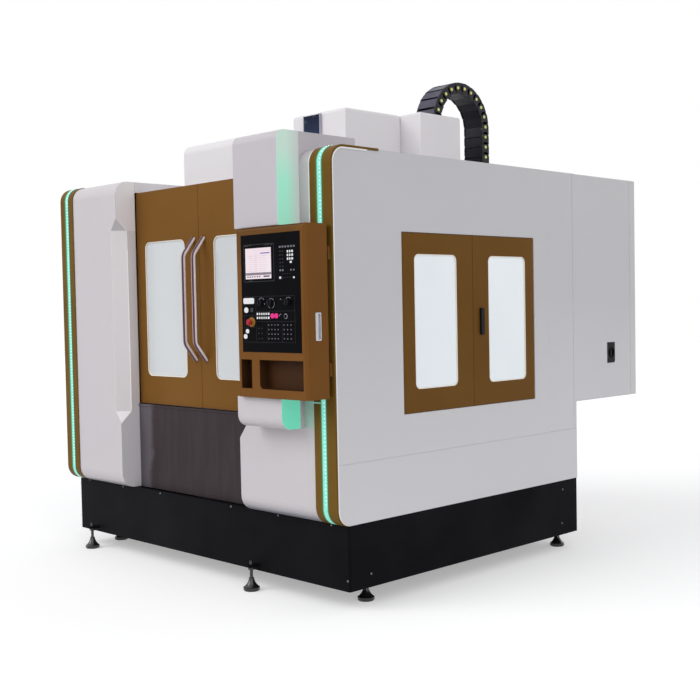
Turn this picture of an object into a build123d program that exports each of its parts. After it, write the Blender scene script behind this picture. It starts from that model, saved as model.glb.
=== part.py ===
"""Vertical machining centre with a full enclosure, sliding front doors, a
swinging control box, side service doors, a rear electrical cabinet and a
cable chain that arches over the column cover. Millimetres, +Z up."""

import os
from math import asin, cos, degrees, pi, radians, sin

from build123d import *

os.makedirs("parts", exist_ok=True)

# Working frame: X from the middle of the machine, Y to the back from the
# front of the plinth, Z up from the floor. save() moves the finished
# pieces so that the origin is under the middle of the overall box.

# Plinth and levelling feet
floor_gap = 105
plinth_width = 2600
plinth_depth = 2045
plinth_height = 341
plinth_wall = 4
plinth_floor = 6
plinth_flange = 30
plinth_corner = 14
pad_radius = 46
pad_rim = 20
pad_height = 72
stem_radius = 9
stem_over_floor = 62
nut_flats = 30
nut_height = 14
lug_reach = 66
lug_width = 36
lug_height = 14
lug_rise = 24
front_foot_y = -42
front_foot_inset = 206
front_foot_right = 560
side_foot_inset = 120
inner_foot_y = (235, 1985)

# Sheet metal and gaps
sheet = 4
gap = 0.3
panel_gap = 3
seam = 1
run_fit = 0.05

# Enclosure
hood_front = -80
roof_height = 2375
front_radius = 85
toe_depth = 90
toe_height = 90
pillar_back = 62
trim_left = 150
trim_right = 156
trim_proud = 5
trim_depth = 12
trim_roof_reach = 263
strip_width = 40
right_strip_shift = 7
strip_proud = 1.5
strip_depth = 6
doorway_left = -650
doorway_right = 536
chamfer_x = 60
chamfer_y = 80
chamfer_low = 930
chamfer_under_roof = 307
chamfer_stop = 76
seam_height = 762
seam_width = 4
seam_depth = 1.5
band_front = 1762
band_back = 2020
band_depth = 1.5
wall_flange = 35

# Front doors
door_face = 70
door_thick = 30
door_low = 978
door_under_roof = 70
door_over_sill = 4
door_width = 650
pane_side = 92
pane_low = 1153
pane_high = 1989
pane_width = 416
pane_radius = 42
glass_thick = 8
handle_side = 49
handle_reach = 80
handle_tube = 13
handle_low = 1260
handle_high = 1990
handle_slope = 105
left_travel = 560
right_travel = 450
track_under_top = 43
beam_drop = 40
beam_depth = 60
rail_tall = 12
rail_deep = 14
track_gap = 12
block_length = 90

# Apron
apron_face = 55
apron_top = 972
sill_depth = 45
hem = 12
tray_outer = 716
tray_inner = 476

# Side service doors
service_front = 430
service_back = 1606
service_low = 982
service_high = 1957
service_thick = 26
service_proud = 3
service_pane_low = 1110
service_pane_high = 1841
service_pane_width = 352
service_pane_side = 94
service_pane_radius = 34
jamb_wide = 36
jamb_deep = 40
pivot_radius = 6
pivot_reach = 14
latch_from_split = 70
latch_height = 1466
latch_tall = 170
latch_wide = 42
latch_thick = 12
latch_gap = 4
latch_pivot = 8

# Louvred access panel on the far side wall
access_front = 900
access_back = 1500
access_low = 1150
access_high = 1900
access_thick = 2.5
access_slots = 12

# Roof with its sunk middle, hood and head covers
roof_drop = 75
sunk_back = 1030
hood_half = 303
hood_face = 200
hood_rise = 198
hood_radius = 55
head_cover_half = 249
head_cover_front = 1062
head_cover_back = 1575
cover_over_column = 215
cover_radius = 22
cover_corner = 5
window_under_top = 17
window_tall = 150
window_left = -127
window_right = 23
window_proud = 16
column_cover_half = 430
column_cover_back = 1980

# Operator side: upper cover, lower cover, control box
cover_inset = 237
cover_width = 353
cover_face = -230
upper_cover_rise = 92
upper_cover_back = 330
upper_cover_radius = 50
lower_cover_drop = 160
lower_cover_radius = 60
lower_light_back = -106
box_inset = 10
box_width = 540
box_face = -260
box_back = -100
box_low = 1105
box_high = 1980
box_edge = 14
box_gap = 4
plate_inset = 50
plate_width = 457
plate_low = 1340
plate_high = 1941
plate_proud = 2
ledge = 12
screen_inset = 36
screen_width = 212
screen_low = 1711
screen_high = 1878
pocket_low = 1150
pocket_high = 1300
pocket_depth = 60
pocket_radius = 25
hinge_inset = 17
hinge_y = -92.5
hinge_radius = 6
hinge_pin = 2.5
hinge_half = 34
hinge_levels = (1250, 1835)

# Knobs and buttons
knob_shaft = 5
button_shaft = 6
knob_radius = 16
knob_height = 20
button_radius = 13
button_travel = 3
button_height = 6
stop_radius = 18
stop_reach = 34
stop_collar = 7
knob_row = 1592
button_row = 1525
knob_insets = {"feed_knob": 157, "spindle_knob": 233, "mode_knob": 365}
button_insets = {"stop_button": 247, "start_button": 277}
stop_inset = 80
stop_height = 1494

# Cabinet
cabinet_left = 450
cabinet_low = 932
cabinet_back = 2690
cabinet_door_depth = 65
cabinet_seal = 2
cabinet_corner = 8
cabinet_hinge_radius = 6
cabinet_hinge_pin = 3
cabinet_hinge_low = 1150
cabinet_hinge_drop = 225
switch_y = 2452
switch_z = 1228
switch_tall = 135
switch_wide = 90
switch_corner = 14
switch_dial = 34
switch_shaft = 8

# Mechanics: bed, column, slides, spindle
bed_half = 420
bed_front = 330
bed_back = 2010
bed_top = 640
rail_width = 45
rail_height = 40
rail_lift = 8
y_rail_x = 300
y_rail_front = 385
y_rail_back = 1592
spindle_y = 1000
saddle_length = 640
saddle_half = 640
saddle_top = 790
x_rail_spread = 200
x_block_half = 200
table_half = 500
table_depth = 500
table_top = 950
table_slab = 70
slot_width = 18
slot_depth = 32
slot_wide = 30
slot_wide_tall = 14
slot_pitch = 125
screw_radius = 20
journal_radius = 14
journal_length = 82
y_screw_z = 590
x_screw_z = 824
x_motor_half = 54
column_front = 1640
column_half_top = 215
column_half_low = 415
column_back_top = 1960
column_rise = 245
flare_low = 1000
flare_high = 1770
taper_high = 2070
z_rail_x = 150
z_screw_y = 1692
head_drop = 75
head_tall = 550
head_half = 190
nose_drop = 100
quill_radius = 105
spindle_shaft = 42
spindle_nose = 64
taper_big = 44.45
taper_length = 68
motor_y = 1290
motor_side = 220
motor_rise = 390
motor_length = 170
servo_half = 60
x_travel = 425
y_travel = 250
z_travel = 550
bearing_drop = 110

# Tool magazine
drum_drop = 340
drum_x = -760
drum_thick = 60
drum_radius = 300
pot_count = 24
pot_radius = 29
pot_length = 95
pot_bore = 20
hub_radius = 45
arm_x = -330
arm_half = 290
arm_drop = 75
arm_thick = 28
frame_over_drum = 270
frame_under_drum = 200
bracket_over_drum = 140
bracket_under_drum = 60

# Cable chain
chain_left = 235
chain_right = 400
chain_y = 2038
chain_under_top = 43
chain_bend = 255
chain_pitch = 70
chain_tall = 78
chain_plate = 7
chain_strap = 7
chain_pin = 11
chain_lap = 26
chain_count = 29
bracket_thick = 12
chain_end_drop = 25

# Levels and places that follow
plinth_half = plinth_width / 2
plinth_top = floor_gap + plinth_height
lug_low = floor_gap + lug_rise
lug_high = lug_low + lug_height
front_foot_x = (-plinth_half + front_foot_inset, front_foot_right)
half = plinth_half + trim_proud
door_high = roof_height - door_under_roof
track_height = door_high - track_under_top
chamfer_high = roof_height - chamfer_under_roof
sunk_roof = roof_height - roof_drop
hood_top = roof_height + hood_rise
column_top = roof_height + column_rise
cover_top = column_top + cover_over_column
window_high = cover_top - window_under_top
window_low = window_high - window_tall
upper_cover_top = roof_height + upper_cover_rise
head_high = roof_height - head_drop
head_low = head_high - head_tall
nose_z = head_low - nose_drop
motor_high = head_high + motor_rise
bearing_low = head_low - z_travel - bearing_drop
drum_z = head_high - drum_drop
arm_z = nose_z - arm_drop
chain_z = cover_top - chain_under_top
chain_moving_end = roof_height - chain_end_drop
cabinet_hinge_levels = (cabinet_hinge_low, roof_height - cabinet_hinge_drop)
cover_right = half - cover_inset
cover_left = cover_right - cover_width
box_right = half - box_inset
box_left = box_right - box_width
plate_left = box_left + plate_inset
plate_right = plate_left + plate_width
screen_left = plate_left + screen_inset
screen_right = screen_left + screen_width
hinge_x = half - hinge_inset
knob_xs = {name: plate_left + inset for name, inset in knob_insets.items()}
button_xs = {name: plate_left + inset for name, inset in button_insets.items()}
stop_place = (plate_left + stop_inset, stop_height)
wall_back = plinth_depth
front_reach = box_face - stop_reach
cabinet_door_y = cabinet_back + cabinet_seal
rear_reach = cabinet_door_y + cabinet_door_depth
right_reach = plinth_half + service_proud + latch_gap + latch_thick
middle_x = (right_reach - half) / 2
middle_y = (front_reach + rear_reach) / 2


def save(name, *solids):
    """Write one node, moved so that the origin is under the middle."""
    pieces = []
    for solid in solids:
        pieces.extend(solid.solids())
    moved = [Pos(-middle_x, -middle_y, 0) * piece for piece in pieces]
    shape = moved[0] if len(moved) == 1 else Compound(children=moved)
    export_step(shape, f"parts/{name}.step")


def block(x0, x1, y0, y1, z0, z1):
    """A box between two corners."""
    size = (x1 - x0, y1 - y0, z1 - z0)
    return Pos((x0 + x1) / 2, (y0 + y1) / 2, (z0 + z1) / 2) * Box(*size)


def rounded(shape, axis, radius):
    """Round the edges of a box that run along one axis."""
    return fillet(shape.edges().filter_by(axis), radius)


def rod(axis, a, b, radius, start, end):
    """A cylinder along X, Y or Z; a and b are its other two coordinates."""
    middle = (start + end) / 2
    length = end - start
    if axis == "X":
        return Pos(middle, a, b) * Rot(0, 90, 0) * Cylinder(radius, length)
    if axis == "Y":
        return Pos(a, middle, b) * Rot(90, 0, 0) * Cylinder(radius, length)
    return Pos(a, b, middle) * Cylinder(radius, length)


def side_prism(face, x0, x1):
    """Extrude a face drawn in the Y-Z plane from x0 to x1."""
    return extrude(Plane.YZ.offset(x0) * face, x1 - x0)


def side_face(grow=0, back=None):
    """The outline of the enclosure seen from its side, Y across, Z up."""
    back = wall_back if back is None else back
    front = hood_front - grow
    top = roof_height + grow
    bottom = plinth_top
    arc_y = hood_front + front_radius
    arc_z = roof_height - front_radius
    toe_y = hood_front + toe_depth
    toe_z = plinth_top + toe_height
    s = sin(radians(45))
    with BuildSketch() as sketch:
        with BuildLine():
            Line((back, bottom), (back, top))
            Line((back, top), (arc_y, top))
            ThreePointArc(
                (arc_y, top),
                (arc_y - (front_radius + grow) * s, arc_z + (front_radius + grow) * s),
                (front, arc_z),
            )
            Line((front, arc_z), (front, toe_z))
            ThreePointArc(
                (front, toe_z),
                (toe_y - (toe_depth + grow) * s, toe_z - toe_height * s),
                (toe_y, bottom),
            )
            Line((toe_y, bottom), (back, bottom))
        make_face()
    return sketch.sketch


def frame_ring(x0, x1, y0, y1, z0, z1, wide, axis):
    """A rectangular ring round an opening, outside the given sides."""
    if axis == "X":
        outer = block(x0, x1, y0 - wide, y1 + wide, z0 - wide, z1 + wide)
        return outer - block(x0 - 1, x1 + 1, y0, y1, z0, z1)
    outer = block(x0 - wide, x1 + wide, y0, y1, z0 - wide, z1 + wide)
    return outer - block(x0, x1, y0 - 1, y1 + 1, z0, z1)


def lift_hinge(x, y, z, radius, pin, half_height):
    """Two knuckles of a lift-off hinge: the lower with its pin, the upper bored."""
    lower = rod("Z", x, y, radius, z - half_height, z)
    lower += rod("Z", x, y, pin, z, z + half_height * 0.8)
    upper = rod("Z", x, y, radius, z + gap, z + half_height)
    upper -= rod("Z", x, y, pin + run_fit, z, z + half_height * 0.8 + gap)
    return lower, upper


def foot(x, y, seat):
    """One levelling foot: bell-shaped pad, and a stem with its lock nut under the seat."""
    with BuildSketch(Plane.XZ) as outline:
        with BuildLine():
            Line((0, 0), (pad_radius - 4, 0))
            Line((pad_radius - 4, 0), (pad_radius, 5))
            Line((pad_radius, 5), (pad_radius, pad_rim))
            Line((pad_radius, pad_rim), (pad_radius - 4, pad_rim + 2))
            ThreePointArc(
                (pad_radius - 4, pad_rim + 2),
                (pad_radius * 0.56, pad_height * 0.55),
                (stem_radius + 5, pad_height),
            )
            Line((stem_radius + 5, pad_height), (0, pad_height))
            Line((0, pad_height), (0, 0))
        make_face()
    pad = Pos(x, y, 0) * revolve(outline.sketch, Axis.Z)
    stem = rod("Z", x, y, stem_radius, pad_height, floor_gap + stem_over_floor)
    nut = extrude(RegularPolygon(nut_flats / 2, 6, major_radius=False), nut_height)
    stem += Pos(x, y, seat - nut_height) * nut
    return pad, stem


def foot_places():
    """Where the feet stand: two in front of the plinth, the others under it."""
    places = [(x, front_foot_y) for x in front_foot_x]
    inset = plinth_half - side_foot_inset
    places += [(inset, y) for y in inner_foot_y]
    places += [(-inset, y) for y in inner_foot_y]
    return places


def make_plinth():
    """Open tray of folded sheet with a top flange and lugs for the front feet."""
    body = block(-plinth_half, plinth_half, 0, plinth_depth, floor_gap, plinth_top)
    body = rounded(body, Axis.Z, plinth_corner)
    inner = block(
        -plinth_half + plinth_wall,
        plinth_half - plinth_wall,
        plinth_wall,
        plinth_depth - plinth_wall,
        floor_gap + plinth_floor,
        plinth_top - plinth_wall,
    )
    body -= inner
    body -= block(
        -plinth_half + plinth_flange,
        plinth_half - plinth_flange,
        plinth_flange,
        plinth_depth - plinth_flange,
        plinth_top - plinth_wall - 1,
        plinth_top + 1,
    )
    for x in front_foot_x:
        lug = block(
            x - lug_width / 2,
            x + lug_width / 2,
            -lug_reach,
            0,
            lug_low,
            lug_high,
        )
        front_edges = lug.edges().filter_by(Axis.Z).group_by(Axis.Y)[0]
        body += fillet(front_edges, lug_width / 2 - 1)
    for x, y in foot_places():
        body -= rod("Z", x, y, stem_radius + gap, floor_gap - 1, lug_high + 1)
    return body


def chamfer_wedge(corner_x, inward, grow=0):
    """The stopped chamfer on a pillar's doorway edge; inward is +1 or -1."""
    low = chamfer_low - grow
    high = chamfer_high + grow
    edge = (corner_x, hood_front)
    across = (corner_x + inward * (chamfer_x + grow), hood_front)
    along = (corner_x, hood_front + chamfer_y + grow)
    tip_low = (*edge, low - chamfer_stop)
    tip_high = (*edge, high + chamfer_stop)
    a0, b0 = (*across, low), (*along, low)
    a1, b1 = (*across, high), (*along, high)
    outlines = [
        (tip_low, a0, b0),
        (a0, a1, b1, b0),
        (tip_high, a1, b1),
        (tip_low, a0, a1, tip_high),
        (tip_low, b0, b1, tip_high),
    ]
    faces = [Face(Wire.make_polygon([Vector(*p) for p in line])) for line in outlines]
    return Solid(Shell(faces))


def make_pillar(x0, x1, corner_x, inward):
    """A front pillar folded from sheet, open at its back."""
    outer = side_prism(side_face(0), x0, x1) & block(
        x0, x1, hood_front - 1, pillar_back, plinth_top, roof_height + 1
    )
    inner = side_prism(side_face(-sheet), x0 + sheet, x1 - sheet) & block(
        x0, x1, hood_front - 1, pillar_back + 50, plinth_top + sheet, roof_height
    )
    wedge = chamfer_wedge(corner_x, inward)
    thick_wedge = chamfer_wedge(corner_x, inward, sheet * 2)
    return (outer - wedge) - (inner - thick_wedge)


def trim_band(x0, x1):
    """A band that wraps the front edge of the enclosure from toe to roof."""
    outer = side_prism(side_face(trim_proud, trim_roof_reach), x0, x1)
    inner = side_prism(side_face(trim_proud - trim_depth, trim_roof_reach + 1), x0 - 1, x1 + 1)
    band = outer - inner
    band -= block(x0 - 1, x1 + 1, hood_front - 20, 30, plinth_top - 20, plinth_top)
    return band - block(x0 - 1, x1 + 1, 30, trim_roof_reach + 2, plinth_top - 1, roof_height - 40)


def strip_band(x0, x1):
    """A light strip let into a trim band, along its front and both bends."""
    outer = side_prism(side_face(trim_proud + strip_proud, 120), x0, x1)
    inner = side_prism(side_face(trim_proud - strip_depth, 121), x0 - 1, x1 + 1)
    strip = outer - inner
    strip -= block(x0 - 1, x1 + 1, 30, 122, plinth_top - 1, roof_height - 40)
    return strip & block(x0, x1, hood_front - 20, 70, plinth_top + 6, roof_height + 20)


def make_side_wall(side):
    """One side wall; side is +1 for the operator's side and -1 for the other."""
    outer_x = plinth_half
    wall = side_prism(side_face(0), outer_x - sheet, outer_x)
    front_cut = side_prism(side_face(trim_proud + 1, trim_roof_reach), outer_x - sheet - 1, outer_x + 1)
    front_keep = side_prism(side_face(trim_proud - trim_depth - gap), outer_x - sheet - 1, outer_x + 1)
    wall -= front_cut - front_keep
    wall += block(
        outer_x - wall_flange,
        outer_x,
        wall_back - sheet * 2,
        wall_back - sheet,
        plinth_top,
        roof_height - sheet,
    )
    wall += block(
        outer_x - wall_flange,
        outer_x,
        pillar_back + 8,
        wall_back - sheet,
        plinth_top,
        plinth_top + sheet,
    )
    groove_z = (seam_height - seam_width / 2, seam_height + seam_width / 2)
    wall -= block(outer_x - seam_depth, outer_x + 1, hood_front - 9, wall_back + 1, *groove_z)
    return wall if side > 0 else mirror(wall, Plane.YZ)


def make_right_wall():
    """The operator's side wall with the jambs of the two service doors."""
    wall = make_side_wall(1)
    outer_x = plinth_half
    wall -= block(
        outer_x - band_depth,
        outer_x + 1,
        band_front,
        band_back,
        seam_height + seam_width,
        roof_height + 1,
    )
    opening = (service_front, service_back, service_low, service_high)
    wall -= block(outer_x - 99, outer_x + 9, *opening)
    wall += frame_ring(outer_x - jamb_deep, outer_x - 0.5, *opening, jamb_wide, "X")
    for y in service_pivots():
        wall -= rod(
            "Z",
            service_axis_x(),
            y,
            pivot_radius + run_fit,
            service_low - pivot_reach - 1,
            service_high + pivot_reach + 1,
        )
    return wall


def make_access_panel():
    """Louvred cover screwed to the far side wall."""
    x0 = -plinth_half - access_thick
    panel = block(x0, -plinth_half, access_front, access_back, access_low, access_high)
    panel = rounded(panel, Axis.X, 20)
    pitch = (access_high - access_low - 160) / access_slots
    for index in range(access_slots):
        z = access_low + 80 + pitch * (index + 0.5)
        slot = block(x0 - 1, x0 + 1.2, access_front + 70, access_back - 70, z - 7, z + 7)
        panel -= slot
    return panel


def service_axis_x():
    """The pivots stand in the middle of the thickness of the leaves."""
    return plinth_half + service_proud - service_thick / 2


def service_pivots():
    """Y of the pivots of the front and the rear leaf."""
    inset = service_thick / 2 + panel_gap
    return service_front + inset, service_back - inset


def make_service_leaf(y0, y1, pivot_y, pane_y0):
    """A service door leaf with a rounded window and a pivot edge."""
    x1 = plinth_half + service_proud
    x0 = x1 - service_thick
    z0 = service_low + panel_gap
    z1 = service_high - panel_gap
    radius = service_thick / 2
    if pivot_y < (y0 + y1) / 2:
        slab = block(x0, x1, pivot_y, y1, z0, z1)
    else:
        slab = block(x0, x1, y0, pivot_y, z0, z1)
    leaf = slab + rod("Z", service_axis_x(), pivot_y, radius, z0, z1)
    pane_y1 = pane_y0 + service_pane_width
    hole = block(x0 - 1, x1 + 1, pane_y0, pane_y1, service_pane_low, service_pane_high)
    leaf -= rounded(hole, Axis.X, service_pane_radius)
    hollow = block(x0 - 1, x1 - sheet, y0 + 34, y1 - 34, z0 + 34, z1 - 34)
    rim = block(
        x0 - 2,
        x1,
        pane_y0 - 26,
        pane_y1 + 26,
        service_pane_low - 26,
        service_pane_high + 26,
    )
    leaf -= hollow - rim
    seat = block(
        x0 - 1,
        x1 - 6,
        pane_y0 - 12,
        pane_y1 + 12,
        service_pane_low - 12,
        service_pane_high + 12,
    )
    leaf -= seat
    for low, high in (
        (service_low - pivot_reach, z0),
        (z1, service_high + pivot_reach),
    ):
        leaf += rod("Z", service_axis_x(), pivot_y, pivot_radius, low, high)
    glass = block(
        x1 - 6 - glass_thick,
        x1 - 6,
        pane_y0 - 12,
        pane_y1 + 12,
        service_pane_low - 12,
        service_pane_high + 12,
    )
    return leaf, glass


def make_latch(y):
    """Swing lever of the service door lock on its escutcheon pivot."""
    face = plinth_half + service_proud
    lever = block(
        face + latch_gap,
        face + latch_gap + latch_thick,
        y - latch_wide / 2 + 7,
        y + latch_wide / 2 - 7,
        latch_height - latch_tall / 2 + 8,
        latch_height + latch_tall / 2 - 8,
    )
    lever = rounded(lever, Axis.X, 8)
    pivot_z = latch_height + latch_tall / 2 - 22
    lever += rod("X", y, pivot_z, latch_pivot, face - service_thick + sheet, face + latch_gap + 1)
    return lever, pivot_z


def make_front_leaf(x0, x1, pane_x0):
    """A sliding front door with a rounded window and its two carriages."""
    y0 = door_face
    y1 = door_face + door_thick
    leaf = block(x0, x1, y0, y1, door_low, door_high)
    leaf = fillet(leaf.edges().filter_by(Axis.Z).group_by(Axis.Y)[0], 3)
    hollow = block(x0 + 30, x1 - 30, y0 + sheet, y1 + 1, door_low + 30, door_high - 70)
    pane_x1 = pane_x0 + pane_width
    rim = block(pane_x0 - 26, pane_x1 + 26, y0, y1 + 2, pane_low - 26, pane_high + 26)
    leaf -= hollow - rim
    hole = block(pane_x0, pane_x1, y0 - 1, y1 + 1, pane_low, pane_high)
    leaf -= rounded(hole, Axis.Y, pane_radius)
    leaf -= block(pane_x0 - 12, pane_x1 + 12, y0 + 6, y1 + 1, pane_low - 12, pane_high + 12)
    glass = block(
        pane_x0 - 12,
        pane_x1 + 12,
        y0 + 6,
        y0 + 6 + glass_thick,
        pane_low - 12,
        pane_high + 12,
    )
    carriages = []
    rail_y = y1 + track_gap
    for x in (x0 + 60, x1 - 60 - block_length):
        carriage = block(
            x,
            x + block_length,
            y1,
            rail_y + rail_deep - 2,
            track_height - 22,
            track_height + 22,
        )
        carriage -= block(
            x - 1,
            x + block_length + 1,
            rail_y - gap,
            rail_y + rail_deep,
            track_height - rail_tall / 2 - gap,
            track_height + rail_tall / 2 + gap,
        )
        carriages.append(carriage)
    return leaf, glass, carriages


def make_handle(x):
    """A bent tube pull handle that stands off the door on its two sloped ends."""
    y0 = door_face
    y1 = door_face - handle_reach
    path = FilletPolyline(
        (x, y0, handle_low),
        (x, y1, handle_low + handle_slope),
        (x, y1, handle_high - handle_slope),
        (x, y0, handle_high),
        radius=60,
    )
    start = Plane(origin=path @ 0, z_dir=path % 0)
    tube = sweep(start * Circle(handle_tube), path=path)
    tube -= block(x - 99, x + 99, y0, y0 + 99, handle_low - 99, handle_high + 99)
    return tube


def make_track():
    """Beam behind the door tops with the rail that the carriages run on."""
    rail_y = door_face + door_thick + track_gap
    reach = plinth_half - sheet
    rail = block(
        -reach,
        reach,
        rail_y,
        rail_y + rail_deep,
        track_height - rail_tall / 2,
        track_height + rail_tall / 2,
    )
    beam_y = rail_y + rail_deep
    beam_top = sunk_roof - sheet
    beam_low = track_height - beam_drop
    beam = block(-reach, reach, beam_y, beam_y + beam_depth, beam_low, beam_top)
    beam -= block(
        -reach - 1,
        reach + 1,
        beam_y + sheet,
        beam_y + beam_depth + 1,
        beam_low + sheet,
        beam_top - sheet,
    )
    guide_y = door_face + door_thick + 2
    guide = block(-reach, reach, guide_y, guide_y + 8, apron_top, door_low + 18)
    return beam + rail, guide


def make_apron():
    """Folded front sheet under the doors with a hemmed top lip and a sill."""
    x0 = doorway_left + panel_gap
    x1 = doorway_right - panel_gap
    apron = block(x0, x1, apron_face, apron_face + sheet, plinth_top, apron_top)
    apron += block(x0, x1, apron_face - 5, apron_face, apron_top - hem, apron_top)
    top = apron_top - sheet
    apron += block(x0, x1, apron_face, door_face + door_thick + sill_depth, top, apron_top)
    return fillet(apron.edges().filter_by(Axis.X).group_by(Axis.Y)[0], 2)


def make_roof():
    """Roof sheet sunk between the pillars, its openings, and the hood over the head."""
    x1 = plinth_half - sheet
    y0 = pillar_back + 1
    above = roof_height + 1
    under = sunk_roof - sheet - 1
    left = doorway_left - sheet
    right = doorway_right + sheet
    roof = block(-x1, x1, y0, wall_back - sheet, roof_height - sheet, roof_height)
    roof -= block(left, right, y0 - 1, sunk_back + 1, roof_height - sheet - 1, above)
    tray_front = door_face + door_thick + track_gap + rail_deep
    tray = block(left, right, tray_front, sunk_back + sheet, sunk_roof - sheet, roof_height)
    tray -= block(doorway_left, doorway_right, tray_front - 1, sunk_back, sunk_roof, above)
    roof += tray
    for x in (left, doorway_right):
        roof += block(x, x + sheet, y0, tray_front, door_high + door_over_sill, roof_height)
    for side, width in ((1, trim_right), (-1, trim_left)):
        notch = sorted((side * (half - width - seam), side * (half + 1)))
        roof -= block(*notch, y0 - 1, trim_roof_reach + seam, roof_height - 9, above)
    roof -= block(cover_left - 1, cover_right + 1, y0 - 1, upper_cover_back + 1, roof_height - 9, above)
    inner = hood_half - 20
    roof -= block(-inner, inner, hood_face + 20, head_cover_front, under, above)
    inner = head_cover_half - 20
    roof -= block(-inner, inner, head_cover_front - 1, head_cover_back, under, above)
    inner = column_cover_half - sheet
    roof -= block(-inner, inner, head_cover_back - 1, column_cover_back - sheet, under, above)
    hood = block(-hood_half, hood_half, hood_face, head_cover_front - 1, sunk_roof, hood_top)
    top_front = hood.edges().filter_by(Axis.X).group_by(Axis.Z)[-1].sort_by(Axis.Y)[0]
    hood = fillet(top_front, hood_radius)
    hollow = block(
        -hood_half + sheet,
        hood_half - sheet,
        hood_face + sheet,
        head_cover_front,
        sunk_roof - 1,
        hood_top - sheet,
    )
    hollow_edge = hollow.edges().filter_by(Axis.X).group_by(Axis.Z)[-1].sort_by(Axis.Y)[0]
    hood -= fillet(hollow_edge, hood_radius - sheet)
    hood -= block(-half, half, sunk_back, head_cover_front, sunk_roof - 1, roof_height)
    return roof, hood


def open_box(x0, x1, y0, y1, z0, z1, radius):
    """A sheet cover without a floor: round top edges, tighter upright ones."""
    outer = block(x0, x1, y0, y1, z0, z1)
    outer = fillet(outer.edges().group_by(Axis.Z)[-1], radius)
    outer = rounded(outer, Axis.Z, cover_corner)
    inner = block(x0 + sheet, x1 - sheet, y0 + sheet, y1 - sheet, z0 - 1, z1 - sheet)
    return outer - fillet(inner.edges().group_by(Axis.Z)[-1], radius - sheet)


def make_head_cover():
    """The tall box over the spindle motor and the dark window in its front."""
    cover = open_box(
        -head_cover_half,
        head_cover_half,
        head_cover_front,
        head_cover_back - 0.5,
        roof_height,
        cover_top,
        cover_radius,
    )
    front = head_cover_front
    opening = (window_left, window_right)
    cover -= block(*opening, front - 1, front + sheet + 1, window_low, window_high)
    cover -= block(
        -head_cover_half + 40,
        head_cover_half - 40,
        head_cover_back - sheet - 1,
        head_cover_back + 1,
        roof_height - 1,
        cover_top - 40,
    )
    pane = block(*opening, front - window_proud, front + sheet, window_low, window_high)
    return cover, pane


def make_column_cover():
    """The wide box over the column top, slotted for the cable chain."""
    cover = open_box(
        -column_cover_half,
        column_cover_half,
        head_cover_back,
        column_cover_back,
        roof_height,
        cover_top - 1,
        12,
    )
    cover -= block(
        -head_cover_half + 40,
        head_cover_half - 40,
        head_cover_back - 1,
        head_cover_back + sheet + 1,
        roof_height - 1,
        cover_top - 40,
    )
    leg_y = chain_y - chain_bend
    cover -= block(
        chain_left - 12,
        chain_right + 12,
        leg_y - chain_tall / 2 - 12,
        column_cover_back + 1,
        chain_z - z_travel / 2 - chain_tall,
        cover_top + 1,
    )
    return cover


def make_upper_cover():
    """The protruding box over the control box, running back over the roof."""
    z0 = box_high + box_gap
    outline = block(
        cover_left, cover_right - 3, cover_face, upper_cover_back, z0, upper_cover_top
    )
    top_front = outline.edges().filter_by(Axis.X).group_by(Axis.Z)[-1].sort_by(Axis.Y)[0]
    body = fillet(top_front, upper_cover_radius)
    pillar = side_prism(side_face(gap), cover_left - 9, cover_right + 9)
    hollow = block(
        cover_left + sheet,
        cover_right - 3 - sheet,
        cover_face + sheet,
        upper_cover_back - sheet,
        z0 + sheet,
        upper_cover_top - sheet,
    )
    hollow_edge = hollow.edges().filter_by(Axis.X).group_by(Axis.Z)[-1].sort_by(Axis.Y)[0]
    body = body - fillet(hollow_edge, upper_cover_radius - sheet)
    return body - pillar


def make_lower_cover():
    """The rounded box under the control box."""
    z1 = box_low - box_gap
    z0 = z1 - lower_cover_drop
    back = hood_front - gap
    body = block(cover_left - 15, cover_right - 3, cover_face, back, z0, z1)
    low_front = body.edges().filter_by(Axis.X).group_by(Axis.Z)[0].sort_by(Axis.Y)[0]
    body = fillet(low_front, lower_cover_radius)
    side_edges = body.edges().filter_by(Axis.Z).group_by(Axis.Y)[0].sort_by(Axis.X)[0]
    body = fillet(side_edges, 18)
    return body + block(cover_right - 4, cover_right, lower_light_back, back, z0, z1)


def make_side_lights():
    """Light panels on the ends of the upper and the lower cover."""
    z0 = box_high + box_gap
    x0 = cover_right - 3
    upper = block(x0, cover_right, cover_face, hood_front - 2, z0, upper_cover_top)
    top_front = upper.edges().filter_by(Axis.X).group_by(Axis.Z)[-1].sort_by(Axis.Y)[0]
    upper = fillet(top_front, upper_cover_radius)
    z1 = box_low - box_gap
    lower = block(x0, cover_right, cover_face, lower_light_back, z1 - lower_cover_drop, z1)
    low_front = lower.edges().filter_by(Axis.X).group_by(Axis.Z)[0].sort_by(Axis.Y)[0]
    lower = fillet(low_front, lower_cover_radius)
    return upper, lower


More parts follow.
